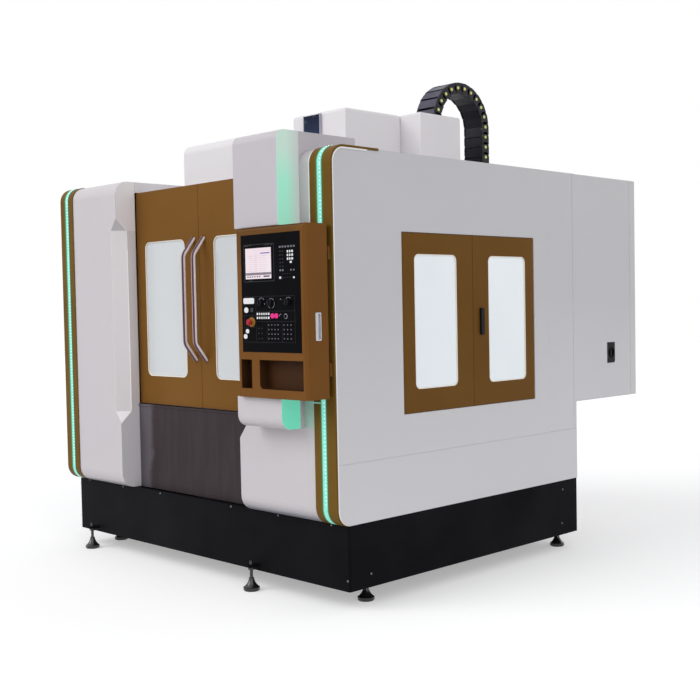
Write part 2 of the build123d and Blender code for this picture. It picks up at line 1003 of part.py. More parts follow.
def make_control_box():
    """The operator box: folded housing with two pockets and hinge knuckles."""
    body = block(box_left, box_right, box_face, box_back, box_low, box_high)
    body = chamfer(body.edges().filter_by(Axis.Z).group_by(Axis.Y)[0], box_edge)
    body = chamfer(body.edges().filter_by(Axis.Z).group_by(Axis.Y)[-1], 10)
    top_front = body.edges().filter_by(Axis.X).group_by(Axis.Z)[-1].sort_by(Axis.Y)[0]
    body = chamfer(top_front, box_edge)
    body -= block(
        plate_left, plate_right, box_face - 1, box_face + sheet, plate_low, plate_high
    )
    left_span, right_span = pocket_spans()
    depth = (box_face - 1, box_face + pocket_depth, pocket_low, pocket_high)
    body -= block(*left_span, *depth)
    pocket = block(*right_span, *depth)
    low_left = pocket.edges().filter_by(Axis.Y).group_by(Axis.Z)[0].sort_by(Axis.X)[0]
    body -= fillet(low_left, pocket_radius)
    body -= block(
        plate_left + ledge,
        plate_right - ledge,
        box_face - 1,
        box_back - sheet,
        plate_low + ledge,
        plate_high - ledge,
    )
    body -= block(
        box_left + sheet,
        box_right - 12 - sheet,
        box_face + sheet * 2,
        box_back - sheet,
        plate_low,
        box_high - sheet,
    )
    body -= block(
        box_left + sheet,
        box_right - 12 - sheet,
        box_face + pocket_depth + sheet,
        box_back - sheet,
        box_low + sheet,
        plate_low + 1,
    )
    grip = grip_place()
    body -= block(box_right - 12, box_right + 1, *grip)
    for z in hinge_levels:
        _, upper = lift_hinge(hinge_x, hinge_y, z, hinge_radius, hinge_pin, hinge_half)
        web = block(
            hinge_x - 26,
            hinge_x - 3,
            box_back,
            box_back + 3,
            z + gap,
            z + hinge_half,
        )
        body += upper + (web - rod("Z", hinge_x, hinge_y, hinge_pin + run_fit, z - 1, z + 99))
    return body


def pocket_spans():
    """X of the two pockets in the foot of the control box."""
    return (box_left + 30, box_left + 118), (box_left + 178, box_right - 26)


def grip_place():
    """Y and Z limits of the recess for the pull grip on the box's side."""
    return (-197, -159, 1398, 1538)


def make_pillar_hinges():
    """Lower halves of the control box hinges, screwed to the trim."""
    solids = []
    for z in hinge_levels:
        lower, _ = lift_hinge(hinge_x, hinge_y, z, hinge_radius, hinge_pin, hinge_half)
        face = hood_front - trim_proud
        leaf = block(hinge_x - 44, hinge_x + 5, face - 3, face, z - hinge_half, z)
        solids.append(lower + leaf)
    return solids


def make_control_plate():
    """Black operator plate let into the front of the control box."""
    plate = block(
        plate_left, plate_right, box_face - plate_proud, box_face + sheet, plate_low, plate_high
    )
    for x, z, radius in control_holes():
        plate -= rod("Y", x, z, radius, box_face - 9, box_face + 9)
    front = box_face - plate_proud
    return plate - block(screen_left, screen_right, front - 1, box_face + 1, screen_low, screen_high)


def control_holes():
    """Shaft holes in the plate: x, z and radius of each."""
    holes = [(x, knob_row, knob_shaft + run_fit) for x in knob_xs.values()]
    holes += [(x, button_row, button_shaft + run_fit) for x in button_xs.values()]
    holes.append((*stop_place, button_shaft + run_fit))
    return holes


def make_knob(x):
    """Fluted rotary knob with a pointer ridge on its shaft."""
    face = box_face - plate_proud
    knob = rod("Y", x, knob_row, knob_radius, face - knob_height, face - gap)
    front = knob.edges().filter_by(GeomType.CIRCLE).sort_by(Axis.Y)[0]
    knob = chamfer(front, 3)
    ridge = (knob_row - 13, knob_row + 13)
    knob += block(x - 3, x + 3, face - knob_height - 5, face - knob_height, *ridge)
    for index in range(8):
        angle = radians(22.5 + 45 * index)
        fx = x + (knob_radius + 1.5) * cos(angle)
        fz = knob_row + (knob_radius + 1.5) * sin(angle)
        knob -= rod("Y", fx, fz, 3, face - knob_height - 1, face)
    return knob + rod("Y", x, knob_row, knob_shaft, face - gap, box_face + sheet - 1)


def make_button(x):
    """Illuminated push button with its travel left in front of the plate."""
    face = box_face - plate_proud
    top = face - button_travel - button_height
    cap = rod("Y", x, button_row, button_radius, top, face - button_travel - gap)
    cap = fillet(cap.edges().filter_by(GeomType.CIRCLE).sort_by(Axis.Y)[0], 2)
    return cap + rod("Y", x, button_row, button_shaft, top + 2, face + 2)


def make_stop():
    """Emergency stop: yellow collar and red mushroom head."""
    face = box_face - plate_proud
    x, z = stop_place
    collar = rod("Y", x, z, stop_radius + stop_collar, face - stop_collar, face)
    collar = chamfer(collar.edges().filter_by(GeomType.CIRCLE).sort_by(Axis.Y)[0], 3)
    collar -= rod("Y", x, z, button_shaft + run_fit, face - stop_collar - 1, face + 1)
    front = front_reach
    with BuildSketch(Plane.XY) as outline:
        with BuildLine():
            Line((0, front), (stop_radius * 0.5, front + 1.5))
            ThreePointArc(
                (stop_radius * 0.5, front + 1.5),
                (stop_radius * 0.88, front + 5),
                (stop_radius, front + 10),
            )
            Line((stop_radius, front + 10), (stop_radius * 0.7, front + 16))
            Line((stop_radius * 0.7, front + 16), (0, front + 16))
            Line((0, front + 16), (0, front))
        make_face()
    head = revolve(outline.sketch, Axis.Y)
    head = Pos(x, 0, z) * head
    head += rod("Y", x, z, button_shaft, front + 15, box_face + sheet - 1)
    return collar, head


def make_keypad():
    """Raised white keys and lamps of the sealed keypads."""
    face = box_face - plate_proud
    keys = []
    for row in range(2):
        for column in range(6):
            x = plate_left + 120 + column * 17
            z = plate_low + 190 - row * 20
            keys.append(block(x, x + 13, face - 2, face, z, z + 11))
    for row in range(3):
        for column in range(3):
            x = plate_left + 363 + column * 16
            z = plate_low + 498 - row * 18
            keys.append(block(x, x + 12, face - 2, face, z, z + 12))
    x = plate_left
    z = plate_low
    wide = block(x + 19, x + 99, face - 6, face, z + 248, z + 278)
    keys.append(rounded(wide, Axis.Y, 8))
    for along, up, radius in ((37, 216, 14), (43, 107, 11), (27, 80, 12)):
        keys.append(rod("Y", x + along, z + up, radius, face - 5, face))
    return keys


def make_grip():
    """Bright pull grip in the recess of the control box's side."""
    y0, y1, z0, z1 = grip_place()
    tray = block(box_right - 12, box_right + 2, y0, y1, z0, z1)
    tray = rounded(tray, Axis.X, 6)
    cup = block(box_right - 9, box_right + 3, y0 + 5, y1 - 5, z0 + 6, z1 - 6)
    tray -= rounded(cup, Axis.X, 4)
    bar = block(box_right - 3, box_right + 2, y0 + 5, y0 + 16, z0 + 6, z1 - 6)
    return tray + bar


def make_cabinet():
    """Electrical cabinet shell, open to the rear, with the lower hinge halves."""
    shell = block(
        cabinet_left, plinth_half, wall_back, cabinet_back, cabinet_low, roof_height
    )
    shell = rounded(shell, Axis.Y, cabinet_corner)
    shell -= block(
        cabinet_left + sheet,
        plinth_half - sheet,
        wall_back + sheet,
        cabinet_back + 1,
        cabinet_low + sheet,
        roof_height - sheet,
    )
    x1 = plinth_half
    shell -= switch_block(x1 - 9, x1 + 1)
    lip = frame_ring(
        cabinet_left + 30,
        x1 - 30,
        cabinet_back - sheet,
        cabinet_back,
        cabinet_low + 30,
        roof_height - 30,
        28,
        "Y",
    )
    shell += lip
    door = block(
        cabinet_left,
        x1,
        cabinet_door_y,
        cabinet_door_y + cabinet_door_depth,
        cabinet_low,
        roof_height,
    )
    door = rounded(door, Axis.Y, cabinet_corner)
    door -= block(
        cabinet_left + sheet,
        x1 - sheet,
        cabinet_back + 1,
        cabinet_door_y + cabinet_door_depth - sheet,
        cabinet_low + sheet,
        roof_height - sheet,
    )
    door += frame_ring(
        cabinet_left + 40,
        x1 - 40,
        cabinet_door_y,
        cabinet_door_y + sheet,
        cabinet_low + 40,
        roof_height - 40,
        38,
        "Y",
    )
    axis_x, axis_y = cabinet_axis()
    for z in cabinet_hinge_levels:
        lower, upper = lift_hinge(axis_x, axis_y, z, cabinet_hinge_radius, cabinet_hinge_pin, 45)
        shell += lower + block(axis_x, cabinet_left + 1, axis_y - 24, axis_y - 2, z - 45, z)
        plate = block(axis_x, cabinet_left + 1, axis_y, axis_y + 22, z + gap, z + 45)
        plate -= rod("Z", axis_x, axis_y, cabinet_hinge_pin + run_fit, z - 1, z + 99)
        door += upper + plate
    return shell, door


def cabinet_axis():
    """The cabinet door turns just outside the seam of its hinge side."""
    return cabinet_left - cabinet_hinge_radius - 1, cabinet_door_y


def switch_block(x0, x1):
    """The outline of the main switch's plate between two depths."""
    plate = block(
        x0,
        x1,
        switch_y - switch_wide / 2,
        switch_y + switch_wide / 2,
        switch_z - switch_tall / 2,
        switch_z + switch_tall / 2,
    )
    low_back = plate.edges().filter_by(Axis.X).group_by(Axis.Z)[0].sort_by(Axis.Y)[-1]
    return fillet(low_back, switch_corner)


def make_switch():
    """Main switch: black recessed plate and its turning grip."""
    x1 = plinth_half
    plate = switch_block(x1 - 24, x1 + 2)
    plate -= rod("X", switch_y, switch_z, switch_dial, x1 - 14, x1 + 3)
    plate -= rod("X", switch_y, switch_z, switch_shaft + run_fit, x1 - 25, x1 + 3)
    grip = rod("X", switch_y, switch_z, switch_dial - 4, x1 - 14 + gap, x1 - 8)
    bar = block(
        x1 - 9,
        x1 + 1.5,
        switch_y - switch_shaft,
        switch_y + switch_shaft,
        switch_z - switch_dial + 7,
        switch_z + switch_dial - 7,
    )
    grip += rounded(bar, Axis.X, 5)
    grip += rod("X", switch_y, switch_z, switch_shaft, x1 - 23, x1 - 13)
    return plate, grip


def make_bed():
    """Cast bed with rail lands, a screw trough, side windows and screw lugs."""
    base = floor_gap + plinth_floor
    bed = block(-bed_half, bed_half, bed_front, bed_back, base, bed_top)
    trough_back = y_rail_back
    bed -= block(-120, 120, bed_front - 1, trough_back, y_screw_z - 70, bed_top + 1)
    for side in (-1, 1):
        for index in range(4):
            y0 = bed_front + 70 + index * 400
            inner, outer = sorted((side * (bed_half - 60), side * (bed_half + 1)))
            pocket = block(inner, outer, y0, y0 + 300, base + 90, bed_top - 150)
            bed -= rounded(pocket, Axis.X, 40)
        for index in range(4):
            y0 = bed_front + 60 + index * 405
            inner, outer = sorted((side * 165, side * (bed_half - 45)))
            bed -= block(inner, outer, y0, y0 + 345, base - 1, bed_top - 80)
    for y in (bed_front, trough_back - 40):
        lug = block(-60, 60, y, y + 40, y_screw_z - 71, y_screw_z + 40)
        lug -= rod("Y", 0, y_screw_z, journal_radius + run_fit, y - 1, y + 41)
        bed += lug
    return bed


def rail(x0, x1, y0, y1, z0, z1, along):
    """One linear guide rail with waisted flanks."""
    bar = block(x0, x1, y0, y1, z0, z1)
    return chamfer(bar.edges().filter_by(along).group_by(Axis.Z)[-1], 4)


def make_column():
    """Cast column: flared foot, slim upper part, ribbed sides, screw channel."""
    with BuildSketch(Plane.XZ) as outline:
        with BuildLine():
            Polyline(
                (-column_half_low, bed_top),
                (-column_half_low, flare_low),
                (-column_half_top, flare_high),
                (-column_half_top, column_top),
                (column_half_top, column_top),
                (column_half_top, flare_high),
                (column_half_low, flare_low),
                (column_half_low, bed_top),
                close=True,
            )
        make_face()
    column = extrude(outline.sketch, bed_back - column_front, dir=(0, 1, 0))
    column = Pos(0, column_front, 0) * column
    with BuildSketch(Plane.YZ) as side_outline:
        with BuildLine():
            Polyline(
                (column_front, bed_top),
                (column_front, column_top),
                (column_back_top, column_top),
                (column_back_top, taper_high),
                (bed_back, flare_low),
                (bed_back, bed_top),
                close=True,
            )
        make_face()
    column &= extrude(side_outline.sketch, column_half_low, both=True)
    trough_low = bearing_low + 50
    column -= block(-85, 85, column_front - 1, z_screw_y + 60, trough_low, column_top - 60)
    for z in (bearing_low, column_top - 60):
        column -= rod("Z", 0, z_screw_y, journal_radius + run_fit, z, z + 61)
    for z in range(720, 2300, 330):
        window = block(-999, 999, column_front + 120, column_back_top - 60, z, z + 230)
        column -= rounded(window, Axis.X, 40) & (
            block(-999, -95, 0, 9999, 0, 9999) + block(95, 999, 0, 9999, 0, 9999)
        )
    return column


def make_guides():
    """The fixed guide rails: two on the bed and two on the column."""
    solids = []
    for side in (-1, 1):
        x = side * y_rail_x
        solids.append(
            rail(
                x - rail_width / 2,
                x + rail_width / 2,
                y_rail_front,
                y_rail_back,
                bed_top,
                bed_top + rail_height,
                Axis.Y,
            )
        )
        x = side * z_rail_x
        solids.append(
            block(
                x - rail_width / 2,
                x + rail_width / 2,
                column_front - rail_height,
                column_front,
                head_low - z_travel - 40,
                head_high + 60,
            )
        )
    return solids


def rail_groove(axis, a, b, start, end):
    """The space that a carriage leaves round a rail along Y or X."""
    w = rail_width / 2 + gap
    if axis == "Y":
        return block(a - w, a + w, start, end, b - 99, b + rail_height + gap)
    return block(start, end, a - w, a + w, b - 99, b + rail_height + gap)


def make_saddle():
    """Cross saddle with grooves below and the X rails, lugs and nut."""
    y0 = spindle_y - saddle_length / 2
    y1 = spindle_y + saddle_length / 2
    z0 = bed_top + rail_lift
    saddle = block(-bed_half, bed_half, y0, y1, z0, saddle_top)
    saddle += block(-saddle_half, saddle_half, y0 + 40, y1 - 40, saddle_top - 60, saddle_top)
    for side in (-1, 1):
        saddle -= rail_groove("Y", side * y_rail_x, bed_top, y0 - 1, y1 + 1)
    nut = block(-48, 48, spindle_y - 60, spindle_y + 60, y_screw_z - 45, z0 + 1)
    saddle += nut
    saddle -= rod("Y", 0, y_screw_z, screw_radius + gap, spindle_y - 61, spindle_y + 61)
    for x in (-saddle_half + 5, saddle_half - 35):
        lug = block(x, x + 30, spindle_y - 45, spindle_y + 45, saddle_top - 1, x_screw_z + 30)
        lug -= rod("X", spindle_y, x_screw_z, journal_radius + run_fit, x - 1, x + 31)
        saddle += lug
    rails = []
    for side in (-1, 1):
        y = spindle_y + side * x_rail_spread
        rails.append(
            rail(
                -saddle_half + 5,
                saddle_half - 5,
                y - rail_width / 2,
                y + rail_width / 2,
                saddle_top,
                saddle_top + rail_height,
                Axis.X,
            )
        )
    motor = block(
        saddle_half,
        saddle_half + motor_length,
        spindle_y - x_motor_half,
        spindle_y + x_motor_half,
        x_screw_z - x_motor_half,
        x_screw_z + x_motor_half,
    )
    motor -= rod("X", spindle_y, x_screw_z, journal_radius + run_fit, saddle_half - 1, saddle_half + 25)
    return saddle, rails, chamfer(motor.edges().filter_by(Axis.X), 10)


def make_table():
    """Machine table with T-slots and the carriages under it."""
    y0 = spindle_y - table_depth / 2
    y1 = spindle_y + table_depth / 2
    under = table_top - table_slab
    table = block(-table_half, table_half, y0, y1, under, table_top)
    for index in (-1.5, -0.5, 0.5, 1.5):
        y = spindle_y + index * slot_pitch
        table -= block(
            -table_half - 1, table_half + 1, y - slot_width / 2, y + slot_width / 2,
            table_top - slot_depth, table_top + 1,
        )
        table -= block(
            -table_half - 1, table_half + 1, y - slot_wide / 2, y + slot_wide / 2,
            table_top - slot_depth, table_top - slot_depth + slot_wide_tall,
        )
    for side in (-1, 1):
        y = spindle_y + side * x_rail_spread
        runner = block(-x_block_half, x_block_half, y - 48, y + 48, saddle_top + rail_lift, under)
        runner -= rail_groove("X", y, saddle_top, -x_block_half - 1, x_block_half + 1)
        table += runner
    nut = block(-55, 55, spindle_y - 45, spindle_y + 45, saddle_top + rail_lift, under)
    nut -= rod("X", spindle_y, x_screw_z, screw_radius + gap, -56, 56)
    return table + nut


def screw(axis, a, b, start, end):
    """A ball screw with its two turned journals."""
    shaft = rod(axis, a, b, screw_radius, start + journal_length, end - journal_length)
    return shaft + rod(axis, a, b, journal_radius, start, end)


def make_head():
    """Cast spindle head: slide with grooves, arm, quill, nut and chain arm."""
    back = column_front - rail_lift
    slide = block(-head_half - 10, head_half + 10, back - 140, back, head_low, head_high)
    for side in (-1, 1):
        x = side * z_rail_x
        w = rail_width / 2 + gap
        slide -= block(
            x - w, x + w, column_front - rail_height - gap, back + 1, head_low - 1, head_high + 1
        )
    with BuildSketch(Plane.YZ) as outline:
        with BuildLine():
            Polyline(
                (back - 139, head_low + 60),
                (spindle_y - 60, head_low + 60),
                (spindle_y - quill_radius - 20, head_low + 120),
                (spindle_y - quill_radius - 20, head_high - 180),
                (spindle_y - 40, head_high - 60),
                (back - 139, head_high - 60),
                close=True,
            )
        make_face()
    arm = extrude(outline.sketch, head_half - 30, both=True)
    arm = fillet(arm.edges().filter_by(Axis.Z).group_by(Axis.Y)[0], 50)
    cavity = block(
        -head_half + 60,
        head_half - 60,
        spindle_y + quill_radius + 20,
        back - 165,
        head_low + 90,
        head_high - 90,
    )
    head = slide + (arm - cavity)
    head += rod("Z", 0, spindle_y, quill_radius, nose_z + 24, head_low + 70)
    bore = rod("Z", 0, spindle_y, spindle_shaft + gap, nose_z, head_high - 100)
    head -= bore
    nut_low = head_low + 210
    nut = block(-55, 55, back - 10, z_screw_y + 40, nut_low, nut_low + 120)
    head += nut
    head -= rod("Z", 0, z_screw_y, screw_radius + gap, nut_low - 60, nut_low + 140)
    top = chain_moving_end + chain_pitch / 2 - chain_lap - gap
    low = top - bracket_thick
    leg_y = chain_y - chain_bend
    side = head_half + 10
    front = back - 120
    bracket = block(side, side + bracket_thick, front, back - 2, head_high - 120, top)
    bracket += block(side, chain_right, front, back - 2, low, top)
    bracket += block(chain_left, chain_right, back - 3, leg_y + chain_tall / 2, low, top)
    return head, bracket


def make_spindle():
    """Spindle with its flange, keys and tapered socket."""
    shaft = rod("Z", 0, spindle_y, spindle_shaft, nose_z + 10, head_high - 110)
    shaft += rod("Z", 0, spindle_y, spindle_nose, nose_z, nose_z + 22)
    taper = Cone(taper_big / 2, taper_big / 2 - taper_length * 7 / 48, taper_length)
    shaft -= Pos(0, spindle_y, nose_z + taper_length / 2) * taper
    for side in (-1, 1):
        key = block(side * 38 - 10, side * 38 + 10, spindle_y - 8, spindle_y + 8, nose_z - 8, nose_z)
        shaft += key
    return shaft


def make_spindle_motor():
    """Spindle drive motor standing on the head, ribbed with a fan cowl."""
    side = motor_side / 2
    z0 = head_high - 60
    body = block(-side, side, motor_y - side, motor_y + side, z0, motor_high - 60)
    body = rounded(body, Axis.Z, 16)
    for index in range(6):
        offset = -75 + index * 30
        for s in (-1, 1):
            x = sorted((s * side, s * (side - 8)))
            body -= block(*x, motor_y + offset - 6, motor_y + offset + 6, z0 + 60, motor_high - 90)
    return body + rod("Z", 0, motor_y, side - 12, motor_high - 61, motor_high)


def make_drives():
    """Servo motors of the Y and Z axes on their castings."""
    y_motor = block(
        -servo_half,
        servo_half,
        bed_front - motor_length,
        bed_front,
        y_screw_z - servo_half,
        y_screw_z + servo_half,
    )
    y_motor = chamfer(y_motor.edges().filter_by(Axis.Y), 10)
    y_motor -= rod("Y", 0, y_screw_z, journal_radius + run_fit, bed_front - 25, bed_front + 1)
    z_motor = block(
        -servo_half,
        servo_half,
        column_front,
        z_screw_y + servo_half,
        column_top,
        column_top + motor_length,
    )
    z_motor = chamfer(z_motor.edges().filter_by(Axis.Z), 10)
    z_motor -= rod("Z", 0, z_screw_y, journal_radius + run_fit, column_top - 1, column_top + 25)
    return y_motor, z_motor


def make_chip_tray():
    """Sloped sheets that lead chips and coolant down beside the bed."""
    solids = []
    for side in (-1, 1):
        x_out = side * (plinth_half - sheet - gap)
        x_in = side * (bed_half + gap)
        with BuildSketch(Plane.XZ) as outline:
            with BuildLine():
                Polyline(
                    (x_out, tray_outer),
                    (x_in, tray_inner),
                    (x_in, tray_inner - sheet),
                    (x_out, tray_outer - sheet),
                    close=True,
                )
            make_face()
        y0 = door_face + door_thick + sill_depth + 4
        sheet_solid = extrude(outline.sketch, wall_back - sheet * 2 - 1 - y0, dir=(0, 1, 0))
        solids.append(Pos(0, y0, 0) * sheet_solid)
    return solids


def make_drum():
    """Tool drum: disc with a pot for each tool round its rim."""
    disc = rod("X", spindle_y, drum_z, drum_radius + 20, drum_x - drum_thick, drum_x)
    disc -= rod("X", spindle_y, drum_z, drum_radius - 55, drum_x - drum_thick - 1, drum_x - 24)
    disc += rod("X", spindle_y, drum_z, hub_radius + 40, drum_x - drum_thick, drum_x)
    disc -= rod("X", spindle_y, drum_z, hub_radius + run_fit, drum_x - drum_thick - 1, drum_x + 1)
    for index in range(pot_count):
        angle = 2 * pi * index / pot_count
        y = spindle_y + drum_radius * cos(angle)
        z = drum_z + drum_radius * sin(angle)
        disc += rod("X", y, z, pot_radius, drum_x - drum_thick - pot_length, drum_x - 5)
        disc -= rod("X", y, z, pot_bore, drum_x - drum_thick - pot_length - 1, drum_x - 20)
    return disc


def make_magazine():
    """Magazine plate on the column, hub shaft, arm gearbox and change arm."""
    plate_x = drum_x + 20
    low = drum_z - frame_under_drum
    high = drum_z + frame_over_drum
    plate = block(plate_x, plate_x + 20, spindle_y - 240, column_front + 80, low, high)
    plate = rounded(plate, Axis.X, 60)
    low = drum_z - bracket_under_drum
    high = drum_z + bracket_over_drum
    plate += block(plate_x + 19, -column_half_top, column_front + 20, column_front + 80, low, high)
    plate += rod("X", spindle_y, drum_z, hub_radius, drum_x - drum_thick - 6, plate_x + 1)
    plate += rod("X", spindle_y, drum_z, hub_radius + 25, drum_x + gap, plate_x + 1)
    gearbox = block(plate_x + 20, arm_x + 70, spindle_y - 70, spindle_y + 70, arm_z + 90, arm_z + 260)
    gearbox = rounded(gearbox, Axis.X, 16)
    gearbox += rod("Z", arm_x, spindle_y, 34, arm_z + arm_thick, arm_z + 91)
    with BuildSketch() as outline:
        with Locations((arm_x, spindle_y)):
            Rectangle(84, 2 * arm_half)
        with Locations((arm_x, spindle_y)):
            Rectangle(40, 2 * arm_half - 240, mode=Mode.SUBTRACT)
        with Locations((arm_x, spindle_y)):
            Circle(60)
        with Locations((arm_x, spindle_y - arm_half), (arm_x, spindle_y + arm_half)):
            Circle(32, mode=Mode.SUBTRACT)
    arm = extrude(outline.sketch, arm_thick)
    return plate, gearbox, Pos(0, 0, arm_z) * arm


def chain_points():
    """Pin centres of the chain from its moving end over the bend to its fixed end."""
    leg_front = chain_y - chain_bend
    leg_back = chain_y + chain_bend
    straight = chain_z - chain_moving_end
    step = 2 * degrees(asin(chain_pitch / 2 / chain_bend))
    arc_length = pi * chain_bend
    arc_pitch = radians(step) * chain_bend
    points = []
    distance = chain_pitch / 2
    while len(points) <= chain_count:
        if distance < straight:
            points.append((leg_front, chain_moving_end + distance))
        elif distance < straight + arc_length:
            angle = pi - (distance - straight) / chain_bend
            points.append((chain_y + chain_bend * cos(angle), chain_z + chain_bend * sin(angle)))
        else:
            points.append((leg_back, chain_z - (distance - straight - arc_length)))
        distance += arc_pitch
    return points


def make_link(start, end, outer):
    """One chain link: two side plates with pins and holes, and two straps."""
    dy = end[0] - start[0]
    dz = end[1] - start[1]
    length = (dy * dy + dz * dz) ** 0.5
    inset = 0 if outer else chain_plate + gap
    low = chain_left + inset
    high = chain_right - inset
    tall = chain_tall / 2 - (0 if outer else 3)
    lap = chain_lap
    with BuildSketch(Plane.YZ) as outline:
        with BuildLine():
            Polyline(
                (-lap, -tall + 14),
                (-lap + 14, -tall),
                (length + lap - 14, -tall),
                (length + lap, -tall + 14),
                (length + lap, tall - 14),
                (length + lap - 14, tall),
                (-lap + 14, tall),
                (-lap, tall - 14),
                close=True,
            )
        make_face()
    plate = extrude(outline.sketch, chain_plate)
    link = Pos(low, 0, 0) * plate + Pos(high - chain_plate, 0, 0) * plate
    strap_half = length / 2 - 6
    for side in (-1, 1):
        z = sorted((side * (chain_tall / 2 - 4), side * (chain_tall / 2 - 4 - chain_strap)))
        link += block(
            low + chain_plate - 1,
            high - chain_plate + 1,
            length / 2 - strap_half,
            length / 2 + strap_half,
            *z,
        )
    for y in (0, length):
        if outer:
            link -= rod("X", y, 0, chain_pin + 0.1, low - 9, high + 9)
        else:
            for x in ((low - chain_plate - gap - 2.5, low + 1), (high - 1, high + chain_plate + gap + 2.5)):
                link += rod("X", y, 0, chain_pin, *x)
    turn = Plane(origin=(0, start[0], start[1]), x_dir=(1, 0, 0), z_dir=(0, -dz / length, dy / length))
    return turn.location * link


def make_chain():
    """All links of the cable chain in its rest arch."""
    points = chain_points()
    links = []
    for index in range(len(points) - 1):
        links.append(make_link(points[index], points[index + 1], index % 2 == 0))
    return links, points[-1]


def make_rear_wall(end_z):
    """Rear wall, and the shelf that holds the fixed end of the chain."""
    reach = plinth_half - sheet - 1
    wall = block(-reach, reach, wall_back - sheet, wall_back, plinth_top, roof_height - sheet - 1)
    leg = chain_y + chain_bend
    shelf = block(
        chain_left, chain_right, wall_back, leg + chain_tall / 2, end_z - 60, end_z - 48
    )
    for x in (chain_left, chain_right - 8):
        gusset = block(x, x + 8, wall_back, leg, end_z - 220, end_z - 60)
        top_back = gusset.edges().filter_by(Axis.X).group_by(Axis.Z)[0].sort_by(Axis.Y)[-1]
        shelf += chamfer(top_back, 150)
    post = block(
        chain_left + 20,
        chain_right - 20,
        leg - 30,
        leg + 30,
        end_z - 48,
        end_z - chain_lap - gap,
    )
    return wall, shelf, post


# Frame
save("plinth", make_plinth())
feet = []
for foot_x, foot_y in foot_places():
    feet.extend(foot(foot_x, foot_y, lug_low if foot_y < 0 else floor_gap))
save("levelling_feet", *feet)
save("bed_casting", make_bed())
save("column_casting", make_column())
save("guide_rails", *make_guides())
save("drive_motors", *make_drives())
save("chip_tray", *make_chip_tray())

# Enclosure
save("left_pillar", make_pillar(-half + trim_left + seam, doorway_left, doorway_left, -1))
save("right_pillar", make_pillar(doorway_right, half - trim_right - seam, doorway_right, 1))
left_band = trim_band(-half, -half + trim_left)
right_band = trim_band(half - trim_right, half)
left_strip_x = -half + trim_left / 2
right_strip_x = half - trim_right / 2 - right_strip_shift
strips = []
bands = []
for band, strip_x in ((left_band, left_strip_x), (right_band, right_strip_x)):
    strip = strip_band(strip_x - strip_width / 2, strip_x + strip_width / 2)
    bands.append(band - strip)
    strips.append(strip)
save("edge_trims", *bands, *make_pillar_hinges())
save("light_strips", *strips, *make_side_lights())
save("left_wall", make_side_wall(-1), make_access_panel())
save("right_wall", make_right_wall())
chain_links, chain_end = make_chain()
save("cable_chain", *chain_links)
save("rear_wall", *make_rear_wall(chain_end[1]))
save("roof_panel", *make_roof())
head_cover, head_pane = make_head_cover()
save("head_cover", head_cover)
save("cover_window", head_pane)
save("column_cover", make_column_cover())
save("upper_cover", make_upper_cover())
save("lower_cover", make_lower_cover())
save("apron", make_apron())
save("door_track", *make_track())

# Front doors
left_pane_x = -door_width + pane_side
left_leaf, left_glass, left_blocks = make_front_leaf(-door_width, -0.75, left_pane_x)
save("left_door", left_leaf, *left_blocks)
save("left_door_glass", left_glass)
save("left_door_handle", make_handle(-handle_side))
right_pane_x = door_width - pane_side - pane_width
right_leaf, right_glass, right_blocks = make_front_leaf(0.75, door_width, right_pane_x)
save("right_door", right_leaf, *right_blocks)
save("right_door_glass", right_glass)
save("right_door_handle", make_handle(handle_side))

# Service doors
split = (service_front + service_back) / 2
front_pivot, rear_pivot = service_pivots()
pane_y = service_front + service_pane_side
leaf, glass = make_service_leaf(service_front + panel_gap, split - 1.5, front_pivot, pane_y)
save("service_door_front", leaf)
save("service_glass_front", glass)
latch_y = split + latch_from_split
lever, latch_pivot_z = make_latch(latch_y)
pane_y = service_back - service_pane_side - service_pane_width
leaf, glass = make_service_leaf(split + 1.5, service_back - panel_gap, rear_pivot, pane_y)
leaf -= rod("X", latch_y, latch_pivot_z, latch_pivot + run_fit, 0, plinth_width)
save("service_door_rear", leaf)
save("service_glass_rear", glass)
save("service_latch", lever)

# Control box
save("control_box", make_control_box())
save("control_plate", make_control_plate())
screen = block(
    screen_left, screen_right, box_face - plate_proud, box_face + 1, screen_low, screen_high
)
save("screen", screen)
save("keypad", *make_keypad())
save("box_grip", make_grip())
collar, stop_head = make_stop()
save("e_stop_collar", collar)
save("e_stop", stop_head)
for knob_name, knob_x in knob_xs.items():
    save(knob_name, make_knob(knob_x))
for button_name, button_x in button_xs.items():
    save(button_name, make_button(button_x))

# Cabinet
cabinet, cabinet_leaf = make_cabinet()
save("cabinet_shell", cabinet)
save("cabinet_door", cabinet_leaf)
switch_plate, switch_grip = make_switch()
save("switch_plate", switch_plate)
save("main_switch", switch_grip)

# Slides, head and magazine
saddle, x_rails, x_motor = make_saddle()
save("saddle", saddle, *x_rails, x_motor)
save("table", make_table())
save("y_screw", screw("Y", 0, y_screw_z, bed_front - 20, y_rail_back))
save("x_screw", screw("X", spindle_y, x_screw_z, -saddle_half + 5, saddle_half + 20))
save("z_screw", screw("Z", 0, z_screw_y, bearing_low + 5, column_top + 20))
head, chain_arm = make_head()
save("head", head, chain_arm)
save("spindle", make_spindle())
save("spindle_motor", make_spindle_motor())
save("tool_drum", make_drum())
save("magazine_frame", *make_magazine())

print("middle_y", middle_y)
print("latch pivot", latch_y, latch_pivot_z)
print("chain end", chain_end)
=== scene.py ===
import math

import bmesh
import bpy
from mathutils import Matrix, Vector


